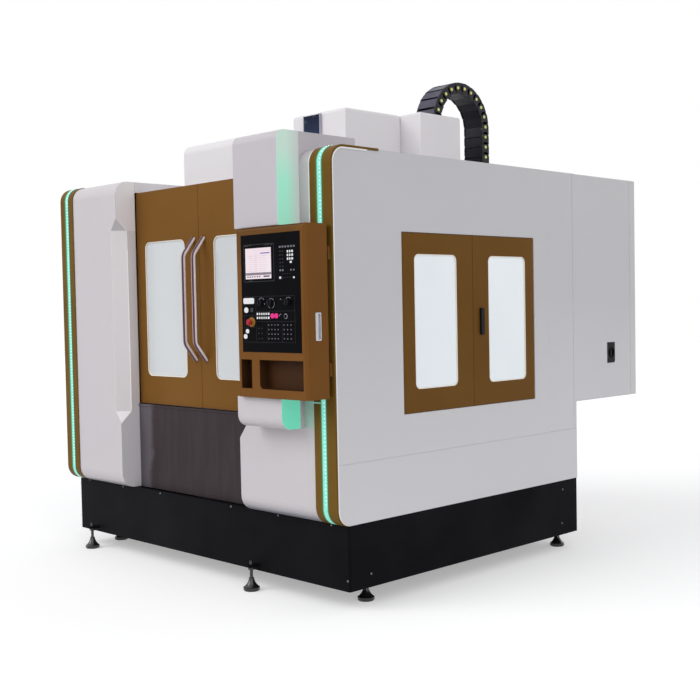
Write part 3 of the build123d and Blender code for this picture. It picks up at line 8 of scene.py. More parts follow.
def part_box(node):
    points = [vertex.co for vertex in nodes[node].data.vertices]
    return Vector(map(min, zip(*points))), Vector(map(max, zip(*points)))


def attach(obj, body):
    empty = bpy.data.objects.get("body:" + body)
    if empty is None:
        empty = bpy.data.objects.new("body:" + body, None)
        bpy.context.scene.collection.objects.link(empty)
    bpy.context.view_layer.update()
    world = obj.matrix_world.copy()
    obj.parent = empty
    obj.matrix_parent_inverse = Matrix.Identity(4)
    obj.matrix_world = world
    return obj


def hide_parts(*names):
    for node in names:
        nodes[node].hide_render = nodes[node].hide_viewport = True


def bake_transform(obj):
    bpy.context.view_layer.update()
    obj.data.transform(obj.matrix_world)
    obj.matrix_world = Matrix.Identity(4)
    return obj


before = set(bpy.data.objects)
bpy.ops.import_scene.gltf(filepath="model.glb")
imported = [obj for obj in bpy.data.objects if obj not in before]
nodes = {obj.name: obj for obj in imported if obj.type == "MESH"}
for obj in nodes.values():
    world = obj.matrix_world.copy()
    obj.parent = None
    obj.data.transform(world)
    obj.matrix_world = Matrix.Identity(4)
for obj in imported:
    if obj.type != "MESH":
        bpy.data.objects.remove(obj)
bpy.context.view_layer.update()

print("frame loaded,", len(nodes), "nodes")


def srgb(red, green, blue):  # screen values from 0 to 255, as linear colour
    linear = []
    for value in (red, green, blue):
        share = value / 255
        linear.append(share / 12.92 if share <= 0.04045 else ((share + 0.055) / 1.055) ** 2.4)
    return (*linear, 1.0)


def linked(name, data):
    item = bpy.data.objects.new(name, data)
    bpy.context.scene.collection.objects.link(item)
    return item


# camera, from the photograph's vanishing lines

cameraValues = {
    "place": (5.2814, -5.1114, 1.5673),
    "right": (0.70071, 0.71319, -0.01919),
    "forward": (-0.71329, 0.69974, -0.03992),
    "lens": 56.63,
    "sensor": 36.0,
    "farClip": 100,
}
cameraData = bpy.data.cameras.new("photoCamera")
cameraData.lens = cameraValues["lens"]
cameraData.sensor_width = cameraValues["sensor"]
cameraData.clip_end = cameraValues["farClip"]
camera = linked("photoCamera", cameraData)
right = Vector(cameraValues["right"]).normalized()
forward = Vector(cameraValues["forward"]).normalized()
up = right.cross(forward).normalized()
cameraTurn = Matrix((right, up, -forward)).transposed().to_4x4()
camera.matrix_world = Matrix.Translation(cameraValues["place"]) @ cameraTurn
bpy.context.scene.camera = camera


# node helpers: an input takes a constant or the output that drives it; addNode gives a node's outputs

def feed(tree, node, inputs):
    for key, value in inputs.items():
        if isinstance(value, bpy.types.NodeSocket):
            tree.links.new(value, node.inputs[key])
        else:
            node.inputs[key].default_value = value


def addNode(tree, kind, inputs=None, **settings):
    node = tree.nodes.new(kind)
    for key, value in settings.items():
        setattr(node, key, value)
    feed(tree, node, inputs or {})
    return node.outputs


def mathOf(tree, operation, *values, clamp=False):
    return addNode(tree, "ShaderNodeMath", dict(enumerate(values)), operation=operation, use_clamp=clamp)[0]


def painted(name, paint, *details):
    # a material whose shader gets the inputs that the paint gives back
    material = bpy.data.materials.new(name)
    material.use_nodes = True
    tree = material.node_tree
    feed(tree, tree.nodes["Principled BSDF"], paint(tree, *details))
    return material


def objectPlace(tree, scale=(1, 1, 1)):
    place = addNode(tree, "ShaderNodeTexCoord")["Object"]
    return addNode(tree, "ShaderNodeMapping", {"Vector": place, "Scale": scale})["Vector"]


def axesOf(tree, vector):
    return addNode(tree, "ShaderNodeSeparateXYZ", {"Vector": vector})


def noiseOf(tree, vector, scale, detail=3.0):
    return addNode(tree, "ShaderNodeTexNoise", {"Vector": vector, "Scale": scale, "Detail": detail})["Fac"]


def spreadOf(tree, value, low, high, start=0.3, end=0.7):
    # the value's span from start to end, spread over low to high
    inputs = {"Value": value, "From Min": start, "From Max": end, "To Min": low, "To Max": high}
    return addNode(tree, "ShaderNodeMapRange", inputs)["Result"]


def mixOf(tree, factor, first, second):
    # by number: sockets 6 and 7 and output 2 of the mix node are the ones for colours
    return addNode(tree, "ShaderNodeMix", {0: factor, 6: first, 7: second}, data_type="RGBA")[2]


def cloudsOf(tree, vector, scale, detail, first, second):
    return mixOf(tree, spreadOf(tree, noiseOf(tree, vector, scale, detail), 0, 1), first, second)


def bumpOf(tree, height, strength, normal=None):
    inputs = {"Height": height, "Strength": strength, "Distance": 0.001}
    if normal is not None:
        inputs["Normal"] = normal
    return addNode(tree, "ShaderNodeBump", inputs)["Normal"]


def regionShare(tree, axes, sides, soft):
    # 1 inside the given span of each axis, 0 outside, with soft edges
    share = None
    for axis, (low, high) in sides.items():
        for edge, first, last in ((low, 0, 1), (high, 1, 0)):
            ramp = spreadOf(tree, axes[axis], first, last, edge - soft / 2, edge + soft / 2)
            share = ramp if share is None else mathOf(tree, "MULTIPLY", share, ramp)
    return share


def finish(tree, v, regions=()):
    # two close tones in soft patches and a fine grain; "edge" lets edges catch light, "foot" is
    # painted light, a paler tone towards the floor, and each region has its sides, its softness and its tone
    shader = {"Metallic": v.get("metal", 0.0), "Coat Weight": v.get("coat", 0.0),
              "Coat Roughness": 0.1, "Specular IOR Level": v.get("specular", 0.5)}
    place = objectPlace(tree, v.get("stretch", (1, 1, 1)))
    patches = noiseOf(tree, place, v["patch"])
    colour = mixOf(tree, spreadOf(tree, patches, 0, 1), v["tone"], v["shade"])
    if "foot" in v:
        pale, start, end = v["foot"]
        colour = mixOf(tree, spreadOf(tree, axesOf(tree, place)["Z"], 0, 1, start, end), colour, pale)
    if regions:
        axes = axesOf(tree, place)
    for sides, soft, tone in regions:
        colour = mixOf(tree, regionShare(tree, axes, sides, soft), colour, tone)
    rough = v["rough"]
    if isinstance(rough, tuple):
        rough = spreadOf(tree, patches, *rough)
    edge = None
    if "edge" in v:
        edge = addNode(tree, "ShaderNodeBevel", {"Radius": v["edge"]}, samples=4)["Normal"]
    grain = noiseOf(tree, place, v["grain"], 2.0)
    normal = bumpOf(tree, grain, v["bump"], edge)
    return {**shader, "Base Color": colour, "Roughness": rough, "Normal": normal}


def paintOf(tone, shade, patch, grain, bump, rough, **more):
    return {"tone": srgb(*tone), "shade": srgb(*shade), "patch": patch, "grain": grain, "bump": bump,
            "rough": rough, **more}


satin = {"patch": 1.3, "grain": 420, "bump": 0.12, "rough": (0.34, 0.42), "coat": 0.15, "edge": 0.003}
bronze = {"patch": 2.2, "grain": 700, "bump": 0.16, "rough": (0.36, 0.46), "edge": 0.002}
bead = {"patch": 3, "grain": 420, "bump": 0.1, "rough": (0.3, 0.4)}
finishes = {  # tone, shade, patch, grain, bump, roughness
    "whitePaint": paintOf((201, 195, 198), (196, 191, 195), **satin),
    # painted shade: a darker, lilac-tinted copy of the white paint for the upper cover
    "lilacPaint": paintOf((192, 187, 192), (187, 182, 188), **satin),
    # painted light: a lighter copy of the white paint for the roof and the covers over head and column
    "coverPaint": paintOf((225, 222, 224), (219, 216, 219), **satin),
    # painted light: the walls' "foot" makes them paler towards the floor
    "wallPaint": paintOf((199, 197, 200), (194, 193, 196), 0.9, 420, 0.12, (0.36, 0.44), coat=0.1, edge=0.002,
                         foot=(srgb(214, 213, 216), 1.6, 0.5)),
    # painted highlight: bright white for edge highlights
    "edgeWhite": paintOf((246, 245, 247), (238, 237, 240), **bead),
    "beadCream": paintOf((240, 234, 222), (232, 225, 212), **bead),
    "bronzePaint": paintOf((122, 83, 34), (115, 77, 29), **bronze, specular=0.06),
    "servicePaint": paintOf((111, 77, 32), (105, 71, 28), **bronze, specular=0.05),
    "plinthPaint": paintOf((23, 23, 26), (14, 13, 16), 1.8, 260, 0.3, (0.42, 0.6), specular=0.03, edge=0.003),
    "castIron": paintOf((112, 114, 116), (92, 94, 96), 6, 180, 0.5, (0.5, 0.7), metal=0.6),
    "brushedSteel": paintOf((186, 187, 190), (158, 160, 163), 30, 90, 0.25, (0.22, 0.4), metal=1.0,
                            stretch=(1, 1, 14)),
    "gripSteel": paintOf((208, 208, 212), (190, 190, 196), 30, 90, 0.15, (0.25, 0.4), metal=0.3, stretch=(9, 9, 1)),
    "footChrome": paintOf((34, 31, 31), (20, 18, 18), 25, 120, 0.15, (0.14, 0.26), coat=0.4),
    "moulded": paintOf((20, 20, 23), (15, 15, 18), 20, 900, 0.3, (0.42, 0.56), specular=0.14),
    "plateBlack": paintOf((13, 14, 17), (10, 10, 12), 9, 1100, 0.12, (0.28, 0.4), specular=0.02),
    "chainPlastic": paintOf((27, 25, 35), (17, 16, 23), 14, 500, 0.25, (0.35, 0.5), specular=0.25, edge=0.002),
    "strapPlastic": paintOf((58, 55, 76), (46, 44, 62), 14, 500, 0.25, (0.32, 0.46), specular=0.4, edge=0.002),
    "pinYellow": paintOf((226, 226, 140), (206, 204, 104), 60, 500, 0.15, (0.35, 0.5)),
    "screwSteel": paintOf((128, 128, 132), (108, 108, 112), 60, 300, 0.15, (0.35, 0.5), metal=0.5),
    "keyGrey": paintOf((112, 112, 120), (92, 92, 100), 120, 900, 0.15, (0.3, 0.45)),
    "keyDim": paintOf((58, 58, 66), (46, 46, 54), 120, 900, 0.15, (0.35, 0.5), specular=0.2),
    "lineGrey": paintOf((48, 48, 56), (38, 38, 45), 60, 900, 0.1, (0.35, 0.5), specular=0.2),
    "stopRed": paintOf((184, 26, 40), (150, 16, 28), 40, 600, 0.1, (0.3, 0.42), specular=0.15, coat=0.05),
    "collarYellow": paintOf((172, 126, 56), (150, 104, 42), 40, 600, 0.15, (0.4, 0.5), specular=0.15),
    "blackRubber": paintOf((24, 22, 21), (18, 17, 16), 40, 400, 0.4, (0.6, 0.75), specular=0.15),
    "cheekGrey": paintOf((176, 172, 184), (160, 157, 170), 20, 400, 0.2, (0.5, 0.65), specular=0.2),
}
made = {name: painted(name, finish, values) for name, values in finishes.items()}


# control box: bronze, with painted shade: darker above the plate and dark brown inside the two pockets

boxValues = {
    "paint": paintOf((120, 79, 37), (114, 74, 33), 2.6, 700, 0.16, 0.43, specular=0.05, edge=0.002),
    "wall": 0.012, "lip": 0.004, "pocketDeep": 0.082, "pocketZ": (1.14, 1.31), "pocketShadeTone": srgb(66, 41, 24),
    "browDrop": 0.16, "browInset": 0.05, "browSoft": 0.1, "browShadeTone": srgb(104, 70, 34), "beyond": 0.3,
}


def boxRegions():
    v = boxValues
    low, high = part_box("control_box")
    pockets = {"X": (low.x + v["wall"], high.x - v["wall"]), "Y": (low.y + v["lip"], low.y + v["pocketDeep"]),
               "Z": v["pocketZ"]}
    brow = {"X": (low.x - v["beyond"], high.x - v["browInset"]), "Z": (high.z - v["browDrop"], high.z + v["beyond"])}
    # the pockets and the brow are painted shade
    return [(pockets, 0.002, v["pocketShadeTone"]), (brow, v["browSoft"], v["browShadeTone"])]


# white pillars, with painted light and shade: a painted highlight on the stopped chamfer and beside it, painted green
# glow and shade beside the lower light, a painted shadow at the toe

pillarValues = {
    "margin": 0.01, "depth": 0.2, "inner": 0.012, "corner": 0.003, "chamfer": 0.062,
    "chamferZ": (0.925, 2.068), "aboveZ": (2.068, 2.5), "belowZ": (0.3, 0.925), "stopZ": (0.85, 0.93),
    "chamferHighlightTone": srgb(224, 219, 221), "aboveHighlightTone": srgb(238, 234, 236), "belowHighlightTone": srgb(222, 219, 222),
    "stopHighlightTone": srgb(236, 233, 236), "spillReach": 0.03, "spillDepth": 0.1, "spillLow": 0.004, "spillHigh": 0.2,
    "glowAndShadeTone": srgb(180, 200, 192), "toeDrop": 0.05, "toeRise": 0.045, "toeShadeTone": srgb(160, 158, 166),
}


def pillarRegions():
    v = pillarValues
    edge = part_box("left_pillar")[1].x
    low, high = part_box("right_pillar")
    coverLow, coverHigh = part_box("lower_cover")
    start = low.y - v["margin"]
    beyond = high.x + v["margin"]
    deep = (start, start + v["depth"])
    inside = (start + v["inner"], start + v["depth"])
    # painted light and shade: the chamfer, the corner strip and the stop are painted highlights, the spill is painted
    # green glow with shade, the toe is painted shadow
    chamfer = {"X": (edge - v["chamfer"], edge + v["margin"]), "Y": deep, "Z": v["chamferZ"]}
    corner = {"X": (edge - v["corner"], edge + v["margin"]), "Y": inside}
    stop = {"X": (edge - v["chamfer"], edge - v["corner"]), "Y": inside, "Z": v["stopZ"]}
    spill = {"X": (coverHigh.x - v["spillReach"], beyond), "Y": (start, start + v["spillDepth"]),
             "Z": (coverLow.z + v["spillLow"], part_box("control_box")[0].z + v["spillHigh"])}
    toe = {"X": (low.x - v["margin"], beyond), "Y": deep, "Z": (low.z - v["toeDrop"], low.z + v["toeRise"])}
    return [
        (chamfer, 0.002, v["chamferHighlightTone"]), ({**corner, "Z": v["aboveZ"]}, 0.002, v["aboveHighlightTone"]),
        ({**corner, "Z": v["belowZ"]}, 0.002, v["belowHighlightTone"]), (stop, 0.002, v["stopHighlightTone"]),
        (spill, 0.004, v["glowAndShadeTone"]), (toe, 0.05, v["toeShadeTone"]),
    ]


made["boxPaint"] = painted("boxPaint", finish, boxValues["paint"], boxRegions())
pillarBase = {**finishes["whitePaint"], "rough": 0.38}
made["pillarPaint"] = painted("pillarPaint", finish, pillarBase, pillarRegions())


# glass, lit parts and the paints that need more than two tones

stripHalf = 0.02  # half the width of a light strip


def stripDistance(tree, axes, shifts=(0.0, 0.0)):
    # how far across a point is from the middle of the nearer light strip
    low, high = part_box("light_strips")
    middles = (low.x + stripHalf + shifts[0], high.x - stripHalf + shifts[1])
    away = [mathOf(tree, "ABSOLUTE", mathOf(tree, "SUBTRACT", axes["X"], middle)) for middle in middles]
    return mathOf(tree, "MINIMUM", *away)


def milkGlass(tree, v):
    # pale glass in the windows: soft clouds of two close tones under a clear surface; its glow, where set, is painted
    # light
    shader = {"Roughness": 0.16, "IOR": 1.5, "Coat Weight": 0.6, "Coat Roughness": 0.03,
              "Emission Strength": v["glow"]}
    colour = cloudsOf(tree, objectPlace(tree, (1, 1, 0.5)), v["patch"], 2.0, v["tone"], v["shade"])
    return {**shader, "Base Color": colour, "Emission Color": colour}


def glowing(tree, v):
    # small lit part: its own light over a black ground, with a faint drift
    shader = {"Base Color": (0, 0, 0, 1), "Roughness": 0.3, "Emission Strength": v["glow"],
              "Specular IOR Level": 0.1}
    colour = cloudsOf(tree, objectPlace(tree), v["patch"], 1.0, v["tone"], v["shade"])
    return {**shader, "Emission Color": colour}


def trimPaint(tree, v):
    # bronze of the edge trims: greener beside the light strips with their painted green glow, redder away from them
    shader = {"Specular IOR Level": 0.05, "Roughness": 0.4}
    place = objectPlace(tree)
    distance = stripDistance(tree, axesOf(tree, place))
    paint = cloudsOf(tree, place, v["patch"], 3.0, v["tone"], v["shade"])
    colour = mixOf(tree, spreadOf(tree, distance, v["most"], 0.0, *v["reach"]), paint, v["glow"])
    grain = noiseOf(tree, place, v["grain"], 2.0)
    return {**shader, "Base Color": colour, "Normal": bumpOf(tree, grain, v["bump"])}


def handlePaint(tree, v):
    # polished tube with painted reflections: a dark plum line and a bright highlight line run along it, grey-pink
    # between them, set by which way the surface faces
    shader = {"Roughness": 0.3, "Specular IOR Level": 0.2}
    normal = addNode(tree, "ShaderNodeNewGeometry")["Normal"]
    side = addNode(tree, "ShaderNodeVectorMath", {0: normal, 1: v["across"]}, operation="DOT_PRODUCT")["Value"]
    colour = v["edge"]
    for tone, start, end in v["lines"]:
        colour = mixOf(tree, spreadOf(tree, side, 0, 1, start, end), colour, tone)
    streaks = noiseOf(tree, objectPlace(tree, v["stretch"]), v["grain"], 2.0)
    return {**shader, "Base Color": colour, "Normal": bumpOf(tree, streaks, v["bump"])}


def lightSkin(tree, v):
    # diffusers: mint strips in the trims; the cover's end fades from mint to white at its back, and that pale back
    # glows as painted light and shade
    shader = {"Roughness": 0.35, "Emission Strength": v["glow"], "Specular IOR Level": 0.2}
    front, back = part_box("upper_cover")
    place = objectPlace(tree)
    axes = axesOf(tree, place)
    fleck = spreadOf(tree, noiseOf(tree, place, v["fleck"], 2.0), 0, 0.3)
    strip = mixOf(tree, fleck, v["strip"], v["bright"])
    distance = stripDistance(tree, axes, v["shift"])
    strip = mixOf(tree, spreadOf(tree, distance, 0, 1, *v["core"]), strip, v["halo"])
    mint = cloudsOf(tree, place, v["drift"], 1.0, v["mint"], v["deep"])
    rise = spreadOf(tree, axes["Z"], 0, 1, back.z - v["rise"][0], back.z - v["rise"][1])
    mint = mixOf(tree, rise, mint, v["high"])
    fade = spreadOf(tree, axes["Y"], 0, 1, front.y + v["fade"][0], front.y + v["fade"][1])
    ending = mixOf(tree, fade, mint, v["pale"])
    isLow = mathOf(tree, "LESS_THAN", axes["Z"], front.z - v["lowerDrop"])
    ending = mixOf(tree, isLow, ending, v["lower"])
    away = mathOf(tree, "ABSOLUTE", mathOf(tree, "SUBTRACT", axes["X"], back.x))
    isEnd = mathOf(tree, "LESS_THAN", away, v["endReach"])
    colour = mixOf(tree, isEnd, strip, ending)
    ground = mixOf(tree, v["darken"], colour, (0, 0, 0, 1))
    return {**shader, "Base Color": ground, "Emission Color": colour}


def lampSkin(tree, v):
    # small lamp: the colour drifts along the height and the glow follows it
    shader = {"Roughness": 0.3, "Emission Strength": v["glow"], "Coat Weight": 0.3}
    place = objectPlace(tree)
    drift = spreadOf(tree, axesOf(tree, place)["Z"], 0, 1, *v["span"])
    plain = mixOf(tree, drift, v["low"], v["high"])
    fleck = spreadOf(tree, noiseOf(tree, place, v["fleck"], 2.0), 0, 0.25)
    colour = mixOf(tree, fleck, plain, v["bright"])
    return {**shader, "Base Color": colour, "Emission Color": colour}


def apronSteel(tree, v):
    # dark rubbed stainless sheet: upright streaks, and a lighter left part with a ragged edge
    shader = {"Specular IOR Level": 0.08}
    streaks = noiseOf(tree, objectPlace(tree, v["stretch"]), 3.0, 6.0)
    base = mixOf(tree, spreadOf(tree, streaks, 0, 1, *v["streakSpan"]), v["dark"], v["streak"])
    place = objectPlace(tree)
    ragged = noiseOf(tree, place, v["ragScale"], 4.0)
    edge = mathOf(tree, "MULTIPLY_ADD", ragged, v["ragReach"], axesOf(tree, place)["X"])
    paleShare = spreadOf(tree, edge, v["paleMost"], 0.0, *v["paleEnd"])
    return {**shader, "Base Color": mixOf(tree, paleShare, base, v["pale"]),
            "Roughness": spreadOf(tree, streaks, *v["rough"]), "Normal": bumpOf(tree, streaks, v["bump"])}


def darkPane(tree, v):
    # tinted pane over the head: deep blue at the top, paler towards its foot, with faint painted reflections as
    # lighter streaks
    shader = {"Roughness": 0.1, "Specular IOR Level": 0.1}
    low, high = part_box("cover_window")
    place = objectPlace(tree)
    lift = spreadOf(tree, axesOf(tree, place)["Z"], 0, 1, low.z, high.z)
    ground = mixOf(tree, lift, v["pale"], v["deep"])
    streaks = spreadOf(tree, noiseOf(tree, place, v["scale"], 2.0), 0, v["most"], *v["span"])
    return {**shader, "Base Color": mixOf(tree, streaks, ground, v["streak"])}


softTones = {  # paint, tone, shade, patch, glow
    "milkGlass": (milkGlass, (209, 213, 215), (201, 205, 208), 1.6, 0.0),
    # painted light: the side panes glow so they read brighter
    "sideGlass": (milkGlass, (236, 241, 244), (224, 231, 236), 1.2, 0.13),
    "screenGlow": (glowing, (243, 230, 235), (238, 220, 228), 9, 1.0),
    # painted light: the white keys glow so they read bright
    "keyLit": (glowing, (246, 246, 250), (232, 232, 238), 60, 0.9),
    # painted light: the dial marks glow so they read bright
    "markWhite": (glowing, (212, 212, 222), (176, 176, 188), 60, 0.6),
    "pinkLit": (glowing, (240, 62, 150), (226, 48, 138), 60, 0.95),
    "screenGrey": (glowing, (150, 140, 152), (134, 124, 138), 60, 0.9),
    "screenPurple": (glowing, (112, 84, 190), (92, 66, 170), 60, 0.9),
    # painted light: the cap under the control box glows mint
    "mintLit": (glowing, (170, 232, 208), (156, 222, 196), 9, 0.45),
    "screenInk": (glowing, (78, 68, 112), (60, 52, 92), 60, 0.9),
    "screenFaint": (glowing, (214, 200, 210), (200, 186, 198), 60, 0.95),
}
for name, (paint, tone, shade, patch, glow) in softTones.items():
    made[name] = painted(name, paint, {"tone": srgb(*tone), "shade": srgb(*shade), "patch": patch, "glow": glow})

specialPaints = {
    # the trims' "glow" tone is painted green light from the strips
    "trimPaint": (trimPaint, {
        "tone": srgb(114, 87, 35), "shade": srgb(105, 76, 28), "glow": srgb(92, 104, 52), "patch": 2.2,
        "most": 0.9, "reach": (0.019, 0.036), "grain": 700, "bump": 0.15}),
    "handlePaint": (handlePaint, {
        "across": (0.7, 0.71, 0.0), "edge": srgb(186, 160, 168),
        "lines": ((srgb(66, 26, 42), -0.72, -0.5), (srgb(118, 94, 105), -0.22, 0.02),
                  (srgb(255, 248, 250), 0.22, 0.45)),
        "stretch": (9, 9, 1), "grain": 18.0, "bump": 0.05}),
    "lightSkin": (lightSkin, {
        "glow": 0.6, "darken": 0.5, "fleck": 90, "strip": srgb(122, 224, 208), "bright": srgb(206, 248, 238),
        "core": (0.012, 0.019), "shift": (0.007, 0.003), "halo": srgb(84, 118, 62), "drift": 3.0,
        "mint": srgb(164, 230, 206), "deep": srgb(156, 223, 198), "high": srgb(190, 216, 204), "rise": (0.26, 0.09),
        "pale": srgb(188, 195, 192), "lower": srgb(116, 220, 188), "fade": (0.065, 0.145), "lowerDrop": 0.3,
        "endReach": 0.02}),
    "lampCore": (lampSkin, {
        "glow": 1.0, "fleck": 200, "low": srgb(226, 250, 240), "high": srgb(236, 252, 246),
        "bright": srgb(255, 255, 255), "span": (0.5, 2.3)}),
    "apronSteel": (apronSteel, {
        "dark": srgb(55, 47, 50), "streak": srgb(63, 55, 58), "pale": srgb(99, 93, 100), "stretch": (7, 7, 1.1),
        "streakSpan": (0.38, 0.66), "ragScale": 7.0, "ragReach": 0.16, "paleMost": 0.85, "paleEnd": (-0.47, -0.43),
        "rough": (0.38, 0.56), "bump": 0.12}),
    "darkPane": (darkPane, {
        "deep": srgb(18, 26, 48), "pale": srgb(40, 52, 80), "streak": srgb(84, 98, 124), "scale": 16.0,
        "most": 0.7, "span": (0.58, 0.72)}),
}
for name, (paint, values) in specialPaints.items():
    made[name] = painted(name, paint, values)

nodeFinish = {
    "whitePaint": ["lower_cover", "rear_wall"],
    "pillarPaint": ["left_pillar", "right_pillar"],
    "lilacPaint": ["upper_cover"],
    "coverPaint": ["roof_panel", "head_cover", "column_cover"],
    "wallPaint": ["left_wall", "right_wall", "cabinet_shell", "cabinet_door"],
    "bronzePaint": ["left_door", "right_door"],
    "trimPaint": ["edge_trims"],
    "servicePaint": ["service_door_front", "service_door_rear"],
    "boxPaint": ["control_box"],
    "plinthPaint": ["plinth", "drive_motors", "spindle_motor"],
    "castIron": ["bed_casting", "column_casting", "saddle", "table", "head", "magazine_frame", "tool_drum"],
    "brushedSteel": ["guide_rails", "chip_tray", "door_track", "spindle", "x_screw", "y_screw", "z_screw"],
    "gripSteel": ["box_grip"],
    "handlePaint": ["left_door_handle", "right_door_handle"],
    "footChrome": ["levelling_feet"],
    "moulded": ["switch_plate", "main_switch", "service_latch", "feed_knob", "spindle_knob", "mode_knob"],
    "plateBlack": ["control_plate"],
    "chainPlastic": ["cable_chain"],
    "keyLit": ["keypad"],
    "stopRed": ["e_stop"],
    "pinkLit": ["start_button", "stop_button"],
    "collarYellow": ["e_stop_collar"],
    "milkGlass": ["left_door_glass", "right_door_glass"],
    "sideGlass": ["service_glass_front", "service_glass_rear"],
    "lightSkin": ["light_strips"],
    "apronSteel": ["apron"],
    "darkPane": ["cover_window"],
    "screenGlow": ["screen"],
}
for finishName, names in nodeFinish.items():
    for name in names:
        for materialSlot in nodes[name].material_slots:
            materialSlot.material = made[finishName]
print("finishes set on", sum(len(names) for names in nodeFinish.values()), "nodes")


# geometry node helpers: a tree with named inputs, set by identifier and baked to a plain mesh

def newTree(name, sockets):
    tree = bpy.data.node_groups.new(name, "GeometryNodeTree")
    for way in ("INPUT", "OUTPUT"):
        tree.interface.new_socket("Geometry", in_out=way, socket_type="NodeSocketGeometry")
    for socketName, socketType in sockets.items():
        tree.interface.new_socket(socketName, in_out="INPUT", socket_type="NodeSocket" + socketType)
    return tree, tree.nodes.new("NodeGroupInput").outputs


def onPoints(tree, points, part, **more):
    inputs = {"Points": points, "Instance": part, **more}
    return addNode(tree, "GeometryNodeInstanceOnPoints", inputs)["Instances"]


def partOf(tree, given):
    return addNode(tree, "GeometryNodeObjectInfo", {"Object": given["Part"]})["Geometry"]


def closeTree(tree, source, given):
    real = addNode(tree, "GeometryNodeRealizeInstances", {"Geometry": source})["Geometry"]
    paint = addNode(tree, "GeometryNodeSetMaterial", {"Geometry": real, "Material": given["Material"]})
    addNode(tree, "NodeGroupOutput", {0: paint["Geometry"]})
    return tree


def scatterTree():
    # one small part on every point of the base mesh
    tree, given = newTree("scatterParts", {"Part": "Object", "Material": "Material"})
    return closeTree(tree, onPoints(tree, given["Geometry"], partOf(tree, given)), given)


def followTree():
    # a part repeated along a path, its Y along the path, turned about X only
    tree, given = newTree("followPath", {"Part": "Object", "Count": "Int", "Material": "Material"})
    inputs = {"Curve": given["Geometry"], "Count": given["Count"]}
    spread = addNode(tree, "GeometryNodeCurveToPoints", inputs, mode="COUNT")
    inputs = {"Vector": spread["Tangent"]}
    turn = addNode(tree, "FunctionNodeAlignRotationToVector", inputs, axis="Y", pivot_axis="X")["Rotation"]
    return closeTree(tree, onPoints(tree, spread["Points"], partOf(tree, given), Rotation=turn), given)


def keyTree():
    # rows and columns of small key caps, facing the operator
    sockets = {"Columns": "Int", "Rows": "Int", "Pitch Across": "Float", "Pitch Down": "Float",
               "Key Width": "Float", "Key Height": "Float", "Key Depth": "Float", "Material": "Material"}
    tree, given = newTree("keyRows", sockets)

    def vectorOf(**inputs):
        return addNode(tree, "ShaderNodeCombineXYZ", inputs)["Vector"]

    def lineOf(count, offset):
        return addNode(tree, "GeometryNodeMeshLine", {"Count": count, "Offset": offset}, mode="OFFSET")["Mesh"]

    steps = lineOf(given["Columns"], vectorOf(X=given["Pitch Across"]))
    rows = lineOf(given["Rows"], vectorOf(Z=mathOf(tree, "MULTIPLY", given["Pitch Down"], -1)))
    loose = addNode(tree, "GeometryNodeRealizeInstances", {"Geometry": onPoints(tree, steps, rows)})["Geometry"]
    size = vectorOf(X=given["Key Width"], Y=given["Key Depth"], Z=given["Key Height"])
    keys = onPoints(tree, loose, addNode(tree, "GeometryNodeMeshCube", {"Size": size})["Mesh"])
    start = addNode(tree, "GeometryNodeInputPosition")["Position"]
    inputs = {"Geometry": given["Geometry"], "Value": start}
    corner = addNode(tree, "GeometryNodeSampleIndex", inputs, data_type="FLOAT_VECTOR", domain="POINT")["Value"]
    move = addNode(tree, "GeometryNodeTransform", {"Geometry": keys, "Translation": corner})["Geometry"]
    return closeTree(tree, move, given)


def bakeTree(piece, tree, values):
    modifier = piece.modifiers.new(tree.name, "NODES")
    modifier.node_group = tree
    for item in tree.interface.items_tree:
        if item.item_type == "SOCKET" and item.in_out == "INPUT" and item.name in values:
            modifier[item.identifier] = values[item.name]
    graph = bpy.context.evaluated_depsgraph_get()
    mesh = bpy.data.meshes.new_from_object(piece.evaluated_get(graph))
    piece.modifiers.clear()
    name = piece.name
    bpy.data.objects.remove(piece)
    return linked(name, mesh)


scatter = scatterTree()
follow = followTree()
keyRows = keyTree()
print("geometry node trees ready")


# mesh helpers

def meshPiece(name, mesh, material=None):
    piece = linked(name, mesh)
    if material is not None:
        mesh.materials.clear()
        mesh.materials.append(material)
    return piece


def meshFrom(name, form):
    bmesh.ops.recalc_face_normals(form, faces=form.faces)
    mesh = bpy.data.meshes.new(name)
    form.to_mesh(mesh)
    form.free()
    return mesh


def formPiece(name, form, paint, body):
    piece = meshPiece(name, meshFrom(name, form), made[paint])
    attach(piece, body)
    return piece


def pointsPiece(name, points):
    mesh = bpy.data.meshes.new(name)
    mesh.from_pydata([tuple(point) for point in points], [], [])
    return meshPiece(name, mesh)


def pathPiece(name, points):
    curve = bpy.data.curves.new(name, "CURVE")
    curve.dimensions = "3D"
    spline = curve.splines.new("POLY")
    spline.points.add(len(points) - 1)
    for knot, point in zip(spline.points, points):
        knot.co = (*point, 1)
    return linked(name, curve)


def boxInto(form, low, high, bevel=0.0):
    before = set(form.verts)
    cube = bmesh.ops.create_cube(form, size=1.0)
    low, high = Vector(low), Vector(high)
    size = high - low
    middle = (high + low) / 2
    for vertex in cube["verts"]:
        vertex.co = Vector((vertex.co.x * size.x, vertex.co.y * size.y, vertex.co.z * size.z)) + middle
    if bevel:
        fresh = [edge for edge in form.edges if edge.verts[0] not in before]
        bmesh.ops.bevel(form, geom=fresh, offset=bevel, segments=2, profile=0.5, affect="EDGES")


def boxesPiece(name, boxes, paint, body, bevel=0.0):
    form = bmesh.new()
    for low, high in boxes:
        boxInto(form, low, high, bevel)
    return formPiece(name, form, paint, body)


def skinInto(form, rows, closed):
    # faces between parallel rows of points, given in order round the section; an open skin has two caps
    rows = [[form.verts.new(point) for point in row] for row in rows]
    count = len(rows[0])
    for step in range(count if closed else count - 1):
        after = (step + 1) % count
        for first, second in zip(rows, rows[1:] + rows[:1]):
            form.faces.new((first[step], first[after], second[after], second[step]))
    if not closed:
        for step in (0, count - 1):
            form.faces.new([row[step] for row in rows])


# cable chain over the column cover

